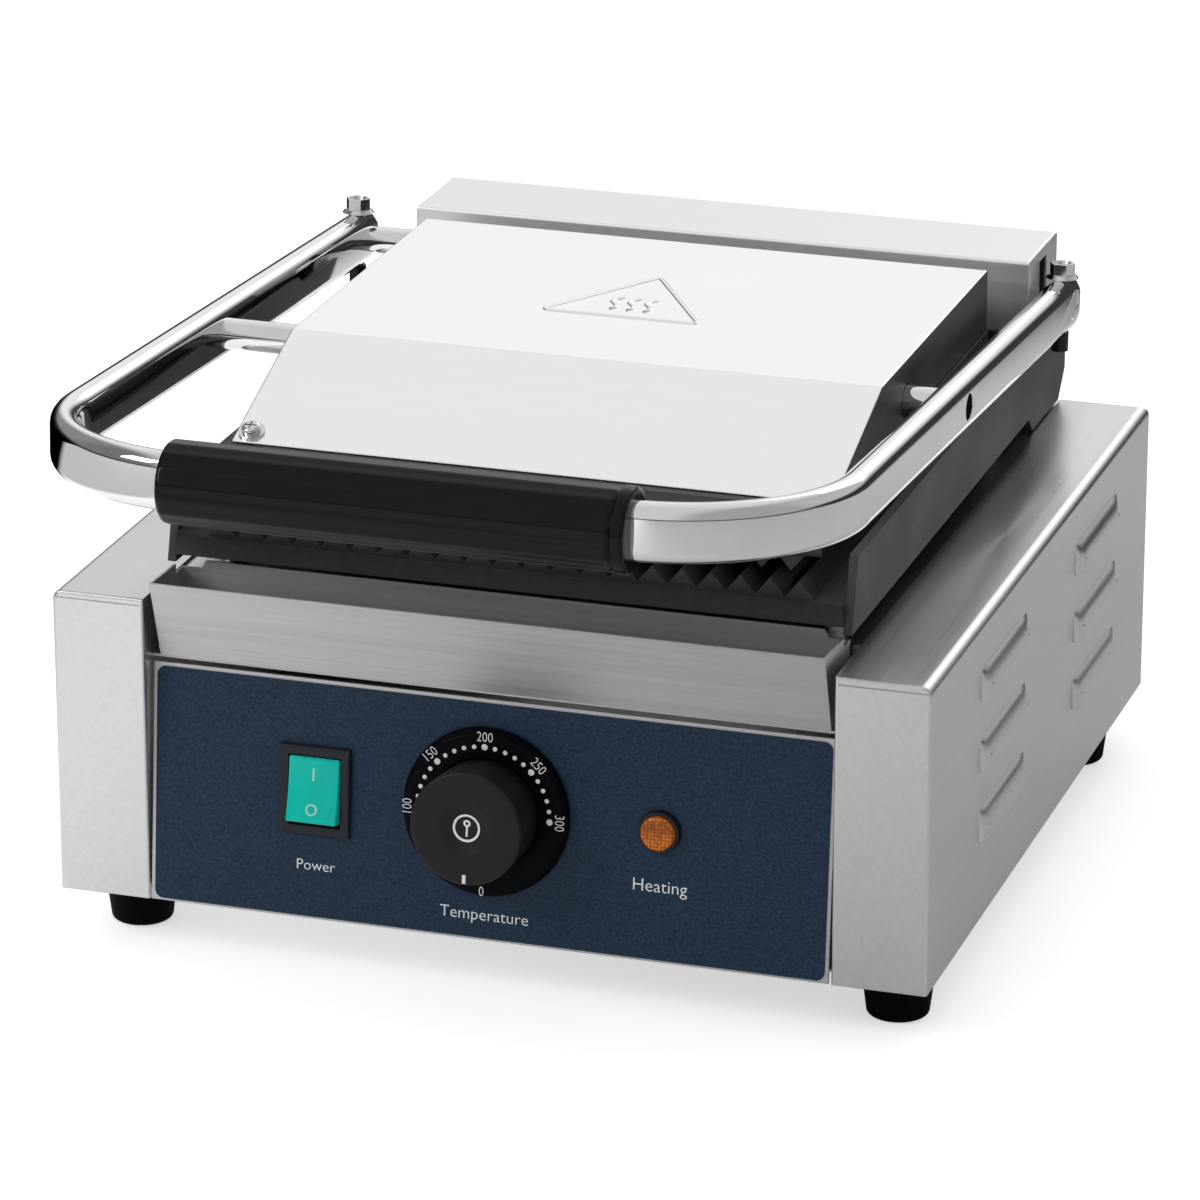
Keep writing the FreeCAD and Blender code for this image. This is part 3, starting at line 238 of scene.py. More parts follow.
def lidSteelWithDullSides():
    # the two side walls are darker, grainier and duller than the top
    material = brushedSteel("lidSteel", (4.0, 300.0, 300.0), tone=0.88, rough=0.2, depth=0.2,
                            tangent="X", grainShade=0.03, roundEdges=0.0006)
    tree = material.node_tree
    shader = tree.nodes["Principled BSDF"]
    coord = addNode(tree, "ShaderNodeTexCoord")
    split = addNode(tree, "ShaderNodeSeparateXYZ")
    tree.links.new(coord.outputs["Object"], split.inputs[0])
    side = mathNode(tree, "GREATER_THAN", mathNode(tree, "ABSOLUTE", split.outputs["X"]),
                    lidHigh.x - 0.3 * mm)
    grain = texture(tree, "Noise", Scale=1600.0, Detail=3.0)
    dull = mixColours(tree, grain.outputs["Fac"], (0.05, 0.05, 0.052), (0.2, 0.2, 0.205))
    top = shader.inputs["Base Color"].links[0].from_socket
    tree.links.new(mixColours(tree, side, top, dull), shader.inputs["Base Color"])
    rough = shader.inputs["Roughness"].links[0].from_socket
    tree.links.new(mathNode(tree, "MULTIPLY_ADD", side, 0.3, rough), shader.inputs["Roughness"])
    return material


def polishedChrome(name, tone=0.74, rough=0.035):
    material, tree, shader = newMaterial(name)
    marks = placeGroup(tree, marksTree, Scale=40.0, Amount=0.8)
    grain = placeGroup(tree, grainTree, Stretch=(160.0, 160.0, 160.0), Depth=0.3)
    shader.inputs["Metallic"].default_value = 1.0
    tree.links.new(mixColours(tree, marks.outputs["Mask"], (tone, tone, tone * 1.01),
                              (tone * 0.93, tone * 0.93, tone * 0.94)), shader.inputs["Base Color"])
    tree.links.new(mathNode(tree, "MULTIPLY_ADD", marks.outputs["Mask"], 0.05, rough),
                   shader.inputs["Roughness"])
    bumpFrom(tree, shader, grain.outputs["Height"], 0.000004, 0.35)
    return material


def castBlack(name, tone=0.012, rough=0.5, roundEdges=0.0005):
    # seasoned casting: sandy skin, a few open pores, rubbed edges
    material, tree, shader = newMaterial(name)
    sand = texture(tree, "Noise", Scale=1500.0, Detail=4.0, Roughness=0.7)
    pores = texture(tree, "Voronoi", Scale=420.0)
    oil = texture(tree, "Noise", Scale=22.0, Detail=4.0)
    wear = placeGroup(tree, wearTree)
    base = mixColours(tree, oil.outputs["Fac"], (tone * 0.7,) * 3, (tone * 1.5,) * 3)
    base = mixColours(tree, mathNode(tree, "MULTIPLY", wear.outputs["Mask"], 0.35), base,
                      (0.12, 0.12, 0.12))
    tree.links.new(base, shader.inputs["Base Color"])
    tree.links.new(mathNode(tree, "MULTIPLY_ADD", oil.outputs["Fac"], 0.3, rough - 0.15),
                   shader.inputs["Roughness"])
    pit = mathNode(tree, "LESS_THAN", pores.outputs["Distance"], 0.12)
    height = mathNode(tree, "MULTIPLY_ADD", pit, -0.5, sand.outputs["Fac"])
    bumpFrom(tree, shader, height, 0.00022, 0.9, roundEdges)
    shader.inputs["Specular IOR Level"].default_value = 0.28
    return material


def mouldedPlastic(name, colour, rough=0.3, grainScale=1800.0, grainDepth=0.00002, gloss=0.5):
    material, tree, shader = newMaterial(name)
    shader.inputs["Specular IOR Level"].default_value = gloss
    skin = texture(tree, "Noise", Scale=grainScale, Detail=2.0)
    marks = placeGroup(tree, marksTree, Scale=45.0, Amount=0.6)
    wear = placeGroup(tree, wearTree)
    tinted = mixColours(tree, mathNode(tree, "MULTIPLY", wear.outputs["Mask"], 0.25), colour,
                        tuple(min(1, c * 1.8 + 0.008) for c in colour))
    tree.links.new(tinted, shader.inputs["Base Color"])
    tree.links.new(mathNode(tree, "MULTIPLY_ADD", marks.outputs["Mask"], 0.12, rough),
                   shader.inputs["Roughness"])
    bumpFrom(tree, shader, skin.outputs["Fac"], grainDepth, 0.6, 0.3 * mm)
    return material


def printedFilm(name, colour):
    # navy film with a fine leather-like grain and faint speckle
    material, tree, shader = newMaterial(name)
    cells = texture(tree, "Voronoi", Scale=900.0)
    speck = texture(tree, "Noise", Scale=1100.0, Detail=3.0)
    slow = texture(tree, "Noise", Scale=14.0, Detail=3.0)
    fine = rampNode(tree, speck.outputs["Fac"], 0.35, 0.65)
    speckled = mixColours(tree, fine, tuple(c * 0.45 for c in colour),
                          tuple(c * 1.65 for c in colour))
    clouded = mixColours(tree, slow.outputs["Fac"], tuple(c * 0.85 for c in colour),
                         tuple(c * 1.15 for c in colour))
    tree.links.new(mixColours(tree, 0.3, speckled, clouded), shader.inputs["Base Color"])
    tree.links.new(mathNode(tree, "MULTIPLY_ADD", slow.outputs["Fac"], 0.12, 0.4),
                   shader.inputs["Roughness"])
    shader.inputs["Specular IOR Level"].default_value = 0.22
    bumpFrom(tree, shader, cells.outputs["Distance"], 0.00012, 0.7, 0.0002)
    return material


def amberLens(name):
    # prisms behind a clear amber skin, with painted light: each prism bright amber in its middle,
    # dark towards its edges
    material, tree, shader = newMaterial(name)
    cells = texture(tree, "Voronoi", Scale=820.0, Randomness=0.25)
    spread = texture(tree, "Noise", Scale=260.0, Detail=2.0)
    # painted light through the prisms: bright at each cell's middle, dark towards its edges
    paintedPrismLight = mathNode(tree, "MULTIPLY", cells.outputs["Distance"], 1.5, clamp=True)
    colour = mixColours(tree, paintedPrismLight, (0.95, 0.3, 0.01), (0.25, 0.05, 0.003))
    tree.links.new(mixColours(tree, mathNode(tree, "MULTIPLY", spread.outputs["Fac"], 0.5), colour,
                              (0.22, 0.05, 0.005)), shader.inputs["Base Color"])
    shader.inputs["Roughness"].default_value = 0.22
    shader.inputs["Specular IOR Level"].default_value = 0.3
    bumpFrom(tree, shader, cells.outputs["Distance"], 0.0003, 0.6)
    return material


def translucentPlastic(name, colour):
    material, tree, shader = newMaterial(name)
    swirl = texture(tree, "Noise", Scale=120.0, Detail=2.0)
    tree.links.new(mixColours(tree, swirl.outputs["Fac"], tuple(c * 0.85 for c in colour),
                              tuple(min(1, c * 1.12) for c in colour)), shader.inputs["Base Color"])
    marks = placeGroup(tree, marksTree, Scale=90.0, Amount=0.5)
    tree.links.new(mathNode(tree, "MULTIPLY_ADD", marks.outputs["Mask"], 0.12, 0.22),
                   shader.inputs["Roughness"])
    shader.inputs["Subsurface Weight"].default_value = 0.2
    shader.inputs["Subsurface Scale"].default_value = 0.002
    shader.inputs["Specular IOR Level"].default_value = 0.2
    bumpFrom(tree, shader, swirl.outputs["Fac"], 0.00003, 0.4, 0.0003)
    return material


def printInk(name, colour):
    material, tree, shader = newMaterial(name)
    worn = texture(tree, "Noise", Scale=900.0, Detail=3.0)
    tree.links.new(mixColours(tree, worn.outputs["Fac"], tuple(c * 0.8 for c in colour), colour),
                   shader.inputs["Base Color"])
    shader.inputs["Roughness"].default_value = 0.5
    bumpFrom(tree, shader, worn.outputs["Fac"], 0.00001, 0.4)
    return material


steelSide = brushedSteel("housingSteel", (500.0, 5.0, 500.0), tone=0.60, rough=0.30)
steelTray = brushedSteel("traySteel", (5.0, 520.0, 520.0), tone=0.485, rough=0.46, depth=0.9,
                         tangent="X", grainShade=0.22)
steelLid = lidSteelWithDullSides()
steelBox = brushedSteel("boxSteel", (4.0, 300.0, 300.0), tone=0.86, rough=0.42, depth=0.3,
                        tangent="X", grainShade=0.04, roundEdges=0.0006)
steelPlain = brushedSteel("millSteel", (120.0, 120.0, 120.0), tone=0.5, rough=0.4, depth=0.4,
                          anisotropy=0.0)
chrome = polishedChrome("polishedChrome")
plated = polishedChrome("zincPlate", tone=0.66, rough=0.14)
castPlate = castBlack("castPlate")
elementSteel = brushedSteel("elementSheath", (90.0, 90.0, 90.0), tone=0.16, rough=0.5,
                            anisotropy=0.0)
blackPaint = mouldedPlastic("blackPaint", (0.008, 0.008, 0.008), rough=0.4, grainScale=700.0,
                            gloss=0.3)
blackGloss = mouldedPlastic("blackBezel", (0.008, 0.009, 0.014), rough=0.28, gloss=0.25)
satinBlack = mouldedPlastic("satinBlack", (0.010, 0.010, 0.011), rough=0.42, grainScale=1500.0,
                            grainDepth=0.00004, gloss=0.2)
dialBlack = mouldedPlastic("dialBlack", (0.001, 0.0015, 0.003), rough=0.4, gloss=0.05)
gripBlack = mouldedPlastic("gripBlack", (0.003, 0.003, 0.003), rough=0.2, grainScale=600.0,
                           grainDepth=0.00001, gloss=0.16)
rubber = mouldedPlastic("footRubber", (0.0012, 0.0012, 0.0012), rough=0.6, grainScale=900.0,
                        grainDepth=0.00006, gloss=0.04)
film = printedFilm("navyFilm", (0.008, 0.024, 0.052))
tealRocker = translucentPlastic("tealRocker", (0.0, 0.53, 0.44))
amber = amberLens("amberLens")
ink = printInk("greyPrint", (0.8, 0.82, 0.85))
rockerInk = printInk("rockerPrint", (0.45, 0.75, 0.68))
bronze = brushedSteel("bronze", (80.0, 80.0, 80.0), tone=0.4, rough=0.35, anisotropy=0.0)
bakelite = mouldedPlastic("bakelite", (0.06, 0.03, 0.015), rough=0.4)
ceramic = mouldedPlastic("ceramic", (0.72, 0.7, 0.64), rough=0.45)

cadMaterials = {
    "side_housing_left": steelSide, "side_housing_right": steelSide, "floor_pan": steelPlain,
    "rear_panel": steelSide, "top_deck": steelSide, "tray_shelf": steelPlain,
    "foot_front_left": rubber, "foot_front_right": rubber, "foot_rear_left": rubber,
    "foot_rear_right": rubber, "foot_screws": plated, "rear_panel_screws": plated,
    "control_panel": steelTray, "panel_film": film, "switch_housing": blackGloss,
    "dial_ring": dialBlack, "thermostat_body": bakelite, "thermostat_shaft": plated,
    "rocker_pin": plated, "thermostat_knob": satinBlack, "switch_rocker": tealRocker,
    "pilot_lamp_body": blackGloss, "pilot_lamp_lens": amber, "drip_tray": steelTray,
    "lower_plate": castPlate, "upper_plate": castPlate, "lower_element": elementSteel,
    "upper_element": elementSteel, "plate_posts": steelPlain, "sensor_bulb": bronze,
    "element_clamps": steelPlain, "hinge_bracket_left": blackPaint,
    "hinge_bracket_right": blackPaint, "axle_bushes": bronze, "rear_box": steelBox,
    "balance_springs": elementSteel, "handle_frame": chrome, "handle_end_caps": chrome,
    "grip": gripBlack, "middle_rod": chrome, "rear_axle": chrome, "clamp_bolts": plated,
    "clamp_cap_nuts": blackGloss, "pivot_blocks": blackPaint, "lid_cover": steelLid,
    "lid_screw": plated, "lid_screw_washer": plated, "cable_gland": satinBlack,
    "gland_nut": satinBlack, "terminal_block": ceramic,
}
for node, material in cadMaterials.items():
    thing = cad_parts[node]
    thing.data.materials.clear()
    thing.data.materials.append(material)
print("materials placed on", len(cadMaterials), "nodes")


def dressMesh(name, mesh, material, body, replaces=(), angle=40):
    # finish a mesh as a piece: material, smooth faces, and the body that it rides on
    mesh.name = name
    mesh.materials.clear()
    mesh.materials.append(material)
    thing = bpy.data.objects.new(name, mesh)
    scene.collection.objects.link(thing)
    mesh.shade_smooth()
    mesh.set_sharp_from_angle(angle=math.radians(angle))
    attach(thing, body)
    if replaces:
        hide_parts(*replaces)
    return thing


def fixNormals(mesh, merge=1e-6):
    work = bmesh.new()
    work.from_mesh(mesh)
    bmesh.ops.remove_doubles(work, verts=work.verts, dist=merge)
    bmesh.ops.recalc_face_normals(work, faces=work.faces)
    work.to_mesh(mesh)
    work.free()


def gridMesh(name, rows, closed=False, capped=False):
    # a skin through rows of points; closed joins each row's ends, capped fills the end rows
    count = len(rows[0])
    faces = []
    for r in range(len(rows) - 1):
        for i in range(count if closed else count - 1):
            j = (i + 1) % count
            faces.append((r * count + i, r * count + j, (r + 1) * count + j, (r + 1) * count + i))
    if capped:
        faces.append(tuple(reversed(range(count))))
        faces.append(tuple(range((len(rows) - 1) * count, len(rows) * count)))
    mesh = bpy.data.meshes.new(name)
    mesh.from_pydata([tuple(point) for row in rows for point in row], [], faces)
    mesh.update()
    return mesh


def latheMesh(name, profile, matrix, segments=96, capped=True):
    # turn a profile of (radius, height) points about the matrix's Z
    turns = [2 * math.pi * i / segments for i in range(segments)]
    rows = [[matrix @ Vector((radius * math.cos(a), radius * math.sin(a), height)) for a in turns]
            for radius, height in profile]
    mesh = gridMesh(name, rows, True, capped)
    fixNormals(mesh)
    return mesh


def joinPiece(name, meshes, material, body, replaces=(), angle=40, merge=True):
    work = bmesh.new()
    for mesh in meshes:
        work.from_mesh(mesh)
    mesh = bpy.data.meshes.new(name)
    work.to_mesh(mesh)
    work.free()
    if merge:
        fixNormals(mesh)
    return dressMesh(name, mesh, material, body, replaces, angle)


def axisMatrix(point, direction):
    return Matrix.Translation(point) @ direction.to_track_quat("Z", "Y").to_matrix().to_4x4()


def rounded(profile, size, steps=4):
    # ease each inner corner of a (radius, height) profile
    out = [profile[0]]
    for i in range(1, len(profile) - 1):
        p, q, r = (Vector((*profile[k], 0)) for k in (i - 1, i, i + 1))
        a, b = (p - q), (r - q)
        cut = min(size, a.length * 0.45, b.length * 0.45)
        start, end = q + a.normalized() * cut, q + b.normalized() * cut
        for s in range(steps + 1):
            t = s / steps
            point = start * (1 - t) ** 2 + q * 2 * t * (1 - t) + end * t ** 2
            out.append((point.x, point.y))
    out.append(profile[-1])
    return out


def repeatTree():
    # put one part on every point, turned and sized by the point's own values
    tree = bpy.data.node_groups.new("repeatPart", "GeometryNodeTree")
    tree.interface.new_socket("Geometry", in_out="INPUT", socket_type="NodeSocketGeometry")
    part = tree.interface.new_socket("Part", in_out="INPUT", socket_type="NodeSocketObject")
    paint = tree.interface.new_socket("Paint", in_out="INPUT", socket_type="NodeSocketMaterial")
    tree.interface.new_socket("Geometry", in_out="OUTPUT", socket_type="NodeSocketGeometry")
    gi, go = tree.nodes.new("NodeGroupInput"), tree.nodes.new("NodeGroupOutput")
    info = addNode(tree, "GeometryNodeObjectInfo", transform_space="ORIGINAL")
    info.inputs["As Instance"].default_value = True
    turn = addNode(tree, "GeometryNodeInputNamedAttribute", data_type="FLOAT_VECTOR", Name="turn")
    grow = addNode(tree, "GeometryNodeInputNamedAttribute", data_type="FLOAT_VECTOR", Name="grow")
    rotation = addNode(tree, "FunctionNodeEulerToRotation")
    spread = addNode(tree, "GeometryNodeInstanceOnPoints")
    solid = addNode(tree, "GeometryNodeRealizeInstances")
    cover = addNode(tree, "GeometryNodeSetMaterial")
    link = tree.links.new
    link(gi.outputs["Geometry"], spread.inputs["Points"])
    link(gi.outputs["Part"], info.inputs["Object"])
    link(info.outputs["Geometry"], spread.inputs["Instance"])
    link(turn.outputs["Attribute"], rotation.inputs[0])
    link(rotation.outputs[0], spread.inputs["Rotation"])
    link(grow.outputs["Attribute"], spread.inputs["Scale"])
    link(spread.outputs["Instances"], solid.inputs["Geometry"])
    link(solid.outputs["Geometry"], cover.inputs["Geometry"])
    link(gi.outputs["Paint"], cover.inputs["Material"])
    link(cover.outputs["Geometry"], go.inputs["Geometry"])
    return tree, part.identifier, paint.identifier


repeater, partSocket, paintSocket = repeatTree()


def repeatPiece(name, part, spots, material, body, angle=40):
    # one plain mesh with the part at every spot; a spot is a matrix
    points = bpy.data.meshes.new(name + "Points")
    points.from_pydata([tuple(m.translation) for m in spots], [], [])
    for label, values in (("turn", [m.to_euler() for m in spots]),
                          ("grow", [m.to_scale() for m in spots])):
        store = points.attributes.new(label, "FLOAT_VECTOR", "POINT")
        store.data.foreach_set("vector", [c for v in values for c in v])
    source = bpy.data.objects.new(name + "Source", part)
    holder = bpy.data.objects.new(name + "Holder", points)
    for thing in (source, holder):
        scene.collection.objects.link(thing)
    modifier = holder.modifiers.new("repeat", "NODES")
    modifier.node_group = repeater
    modifier[partSocket] = source
    modifier[paintSocket] = material
    bpy.context.view_layer.update()
    mesh = bpy.data.meshes.new_from_object(
        holder.evaluated_get(bpy.context.evaluated_depsgraph_get()))
    holder.modifiers.remove(modifier)
    for thing in (source, holder):
        bpy.data.objects.remove(thing)
    for label in ("turn", "grow"):
        if label in mesh.attributes:
            mesh.attributes.remove(mesh.attributes[label])
    fixNormals(mesh)
    return dressMesh(name, mesh, material, body, angle=angle)


# the flat oval tube, and the round holes over the two rods' ends
handle = {"thick": 10 * mm, "tall": 20 * mm, "bend": 60 * mm, "tail": 8 * mm, "chamfer": 2.6 * mm,
          "sectionSteps": 12, "straightSteps": 8, "bendSteps": 44}
tubeHoles = {"rod": {"centre": rodCentre, "radius": 4.7 * mm, "deep": 3.6 * mm},
             "axle": {"centre": axleCentre, "radius": 5.5 * mm, "deep": 1 * mm}}
holeRim = 0.4 * mm


def ovalSection(thick, tall, steps):
    points = []
    flat = (tall - thick) / 2
    for side, start in ((1, 0.0), (-1, math.pi)):
        for i in range(steps + 1):
            a = start + math.pi * i / steps
            points.append((thick / 2 * math.cos(a), flat * side + thick / 2 * math.sin(a)))
    return points


def drillTube(mesh, face):
    # open the holes to the outside of each arm, with a small countersink
    tube = bpy.data.objects.new("tube", mesh)
    scene.collection.objects.link(tube)
    cutters = []
    for hole in tubeHoles.values():
        radius = hole["radius"]
        profile = [(radius, -hole["deep"]), (radius, -0.3 * mm), (radius + holeRim, 0.1 * mm),
                   (radius + holeRim, 2 * mm)]
        for side in (-1, 1):
            spot = Vector((axleCentre.x + face * side, hole["centre"].y, hole["centre"].z))
            cutter = latheMesh("cutter", profile, axisMatrix(spot, Vector((side, 0, 0))), 48)
            thing = bpy.data.objects.new("cutter", cutter)
            scene.collection.objects.link(thing)
            cutters.append(thing)
            drill = tube.modifiers.new("drill", "BOOLEAN")
            drill.operation, drill.object, drill.solver = "DIFFERENCE", thing, "EXACT"
    bpy.context.view_layer.update()
    drilled = bpy.data.meshes.new_from_object(
        tube.evaluated_get(bpy.context.evaluated_depsgraph_get()))
    for thing in [tube] + cutters:
        bpy.data.objects.remove(thing)
    return drilled


def buildHandle():
    half = (axleHigh.x - axleLow.x) / 2 - handle["thick"] / 2
    reach = (barCentre - axleCentre).length
    bend, tail, cut = handle["bend"], handle["tail"], handle["chamfer"]
    right = Vector((1, 0, 0))
    # each station is a point on the tube's middle line, its outward direction and its size
    stations = [(Vector((half, tail, 0)), right, 1 - cut / (handle["tall"] / 2)),
                (Vector((half, tail - cut, 0)), right, 1.0)]
    for i in range(1, handle["straightSteps"] + 1):
        y = (tail - cut) + (bend - reach - tail + cut) * i / handle["straightSteps"]
        stations.append((Vector((half, y, 0)), right, 1.0))
    for i in range(1, handle["bendSteps"] + 1):
        a = math.pi / 2 * i / handle["bendSteps"]
        out = Vector((math.cos(a), -math.sin(a), 0))
        stations.append((Vector((half - bend, bend - reach, 0)) + out * bend, out, 1.0))
    stations += [(Vector((-p.x, p.y, 0)), Vector((-o.x, o.y, 0)), s)
                 for p, o, s in reversed(stations)]
    section = ovalSection(handle["thick"], handle["tall"], handle["sectionSteps"])
    rows = [[handleMatrix @ (point + out * a + Vector((0, 0, b * size))) for a, b in section]
            for point, out, size in stations]
    mesh = gridMesh("handleTube", rows, True, True)
    fixNormals(mesh)
    mesh = drillTube(mesh, half + handle["thick"] / 2)
    dressMesh("handleTube", mesh, chrome, "handle",
              ("handle_frame", "handle_end_caps"), 32)


# both rods stop inside the arms, this much short of the CAD rods' ends
rods = {"middleRod": {"node": "middle_rod", "centre": rodCentre, "radius": 5.5 * mm,
                      "short": 4 * mm},
        "rearAxle": {"node": "rear_axle", "centre": axleCentre, "radius": 5 * mm,
                     "short": 0.3 * mm}}
rodEdge = 0.6 * mm


def buildRods():
    for name, rod in rods.items():
        low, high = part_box(rod["node"])
        radius, reach = rod["radius"], (high.x - low.x) / 2 - rod["short"]
        profile = [(radius - rodEdge, -reach), (radius, -reach + rodEdge), (radius, -reach * 0.5),
                   (radius, 0), (radius, reach * 0.5), (radius, reach - rodEdge),
                   (radius - rodEdge, reach)]
        mesh = latheMesh(name, profile, axisMatrix(rod["centre"], Vector((1, 0, 0))), 64)
        dressMesh(name, mesh, chrome, "handle", (rod["node"],), 35)


hollow = {"radius": 4.6 * mm, "thick": 0.4 * mm, "deep": 3.3 * mm}


def buildHollowShade():
    # what is seen down the middle rod's two holes: a black disc in each, painted shade standing for
    # the unlit inside of the tube
    face, half = (axleHigh.x - axleLow.x) / 2, hollow["thick"] / 2
    discs = []
    for side in (-1, 1):
        spot = Vector((axleCentre.x + side * (face - hollow["deep"]), rodCentre.y, rodCentre.z))
        discs.append(latheMesh("hollow", [(hollow["radius"], -half), (hollow["radius"], half)],
                               axisMatrix(spot, Vector((side, 0, 0))), 40))
    joinPiece("rodHollows", discs, rubber, "handle")


grip = {"flutes": 16, "radius": 14.25 * mm, "depth": 0.3 * mm, "lip": 4 * mm, "edge": 1.4 * mm}


def buildGrip():
    half = (gripHigh.x - gripLow.x) / 2
    steps = 12 * grip["flutes"]
    lip, edge, radius = grip["lip"], grip["edge"], grip["radius"]
    body = radius - 0.35 * mm
    # each station is (place along the grip, radius, how deep the flutes are)
    stations = [(half, radius - edge * 2.2, 0), (half, radius - edge, 0)]
    for i in range(1, 6):
        turn = math.pi / 2 * i / 5
        stations.append((half - edge + edge * math.cos(turn), radius - edge + edge * math.sin(turn),
                         0))
    stations += [(half - lip, radius, 0), (half - lip - 0.35 * mm, radius - 0.5 * mm, 0),
                 (half - lip - 0.8 * mm, body - 0.5 * mm, 0), (half - lip - 1.6 * mm, body, 0.6),
                 (half - lip - 3 * mm, body, 1), (0.0, body, 1), (-half + 4 * mm, body, 1)]
    for i in range(7):
        turn = math.pi / 2 * i / 6
        stations.append((-half + 2 * mm * (1 - math.sin(turn)),
                         body - 2 * mm * (1 - math.cos(turn)), max(0, 0.7 - i * 0.15)))
    stations.append((-half, body - 5 * mm, 0))
    centre = Matrix.Translation(barCentre) @ handleMatrix.to_3x3().to_4x4()
    rows = []
    for x, r, depth in stations:
        row = []
        for i in range(steps):
            a = 2 * math.pi * i / steps
            dip = abs(math.cos(a * grip["flutes"] / 2)) ** 1.4
            here = r - grip["depth"] * depth * dip
            row.append(centre @ Vector((x, here * math.cos(a), here * math.sin(a))))
        rows.append(row)
    mesh = gridMesh("gripMoulding", rows, True, True)
    fixNormals(mesh)
    dressMesh("gripMoulding", mesh, gripBlack, "handle", ("grip",), 30)


buildHandle()
buildRods()
buildHollowShade()
buildGrip()
print("handle built")


# louvre hoods: length and height on the wall, how far they stand out, and their grid
louvre = {"length": 59.6 * mm, "height": 10.9 * mm, "out": 2.85 * mm, "round": 8 * mm,
          "wall": 0.7 * mm, "first": -30.86 * mm, "step": 130 * mm, "low": 49.25 * mm,
          "rise": 25.2 * mm}


def hoodMesh():
    half, tall, out = louvre["length"] / 2, louvre["height"], louvre["out"]
    rows, across, up = [], 40, 12
    for j in range(-3, up + 1):
        row = []
        for i in range(across + 1):
            x = half * math.sin(math.pi / 2 * (2 * i / across - 1))
            over = max(0.0, (abs(x) - half + louvre["round"]) / louvre["round"])
            end = math.sqrt(max(0.0, 1 - over ** 2))
            if j >= 0:
                rise = j / up
                row.append((x, tall * rise, out * end * (1 - rise ** 2.6) ** 0.75))
            else:
                depth = (louvre["wall"] * (-j) if j > -3 else louvre["wall"] * 1.3)
                row.append((x, 0.0 if j > -3 else 2.0 * mm, max(out * end - depth, -0.1 * mm)))
        rows.append(row)
    return gridMesh("louvreHood", rows)


hood = hoodMesh()
for side, name in ((-1, "left"), (1, "right")):
    low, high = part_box("side_housing_" + name)
    face = (low if side < 0 else high).x - side * 2.6 * mm
    turn = Matrix(((0, 0, side), (side, 0, 0), (0, 1, 0))).to_4x4()
    spots = [Matrix.Translation((face, louvre["first"] + louvre["step"] * column,
                                 louvre["low"] + louvre["rise"] * line)) @ turn
             for column in range(2) for line in range(3)]
    repeatPiece(name + "Louvres", hood, spots, steelSide, "base",
                angle=50)
print("louvres built")

dial = {"radius": 29 * mm, "thick": 4.5 * mm, "bore": 19.1 * mm, "dots": 23.2 * mm,
        "figures": 26.7 * mm, "tall": 3.3 * mm, "dot": 0.78 * mm, "ink": 0.08 * mm}
knob = {"foot": 18.5 * mm, "face": 19.4 * mm, "out": 23 * mm, "edge": 1.2 * mm,
        "dimple": 9.2 * mm, "deep": 2.1 * mm}


def knobHeight(radius):
    if radius < knob["dimple"]:
        return knob["out"] - knob["deep"] * (1 - (radius / knob["dimple"]) ** 2) ** 1.15
    over = radius - (knob["face"] - knob["edge"])
    if over <= 0:
        return knob["out"]
    return knob["out"] - knob["edge"] + math.sqrt(max(0, knob["edge"] ** 2 - over ** 2))


def buildDial():
    t, r = dial["thick"], dial["radius"]
    ring = rounded([(dial["bore"], t * 0.5), (dial["bore"], t), (r - 1.7 * mm, t), (r, t * 0.45),
                    (r, 0), (dial["bore"], 0), (dial["bore"], t * 0.5)], 0.5 * mm)
    mesh = latheMesh("dialFace", ring, onPanel(0, controlRise), 128, False)
    dressMesh("dialFace", mesh, dialBlack, "base", ("dial_ring",))
    size, thick = dial["dot"], dial["ink"]
    dot = latheMesh("dot", [(size, 0), (size, thick * 0.6), (size * 0.9, thick)],
                    Matrix.Identity(4), 16)
    spots = []
    for i in range(21):
        a = math.radians(-90 + 9 * i)
        size = 1.4 if i % 5 == 0 else 1.0   # every fifth dot is a larger one
        spots.append(onPanel(0, controlRise, t) @ Matrix.Translation(
            (dial["dots"] * math.sin(a), dial["dots"] * math.cos(a), 0)) @ Matrix.Diagonal(
                (size, size, 1, 1)))
    repeatPiece("dialDots", dot, spots, ink, "base")


def ringMesh(inner, outer, height, shift, steps=48):
    # a flat ring with eased edges
    edge = (outer - inner) * 0.15
    rows = []
    for k in range(steps):
        a = 2 * math.pi * k / steps
        rows.append([(r * math.cos(a), r * math.sin(a), z) for r, z in
                     ((outer, 0), (outer - edge, height), (inner + edge, height), (inner, 0))])
    rows.append(rows[0])
    mesh = gridMesh("ring", rows, True)
    mesh.transform(shift)
    return mesh


def barMesh(wide, tall, height, shift):
    # a thin raised bar with sloping sides
    rows = []
    for k in range(9):
        y = tall * (k / 8 - 0.5)
        rows.append([(x, y, z) for x, z in
                     ((-wide / 2, -0.02 * mm), (-wide * 0.42, height), (wide * 0.42, height),
                      (wide / 2, -0.02 * mm))])
    mesh = gridMesh("bar", rows, True, True)
    mesh.transform(shift)
    return mesh


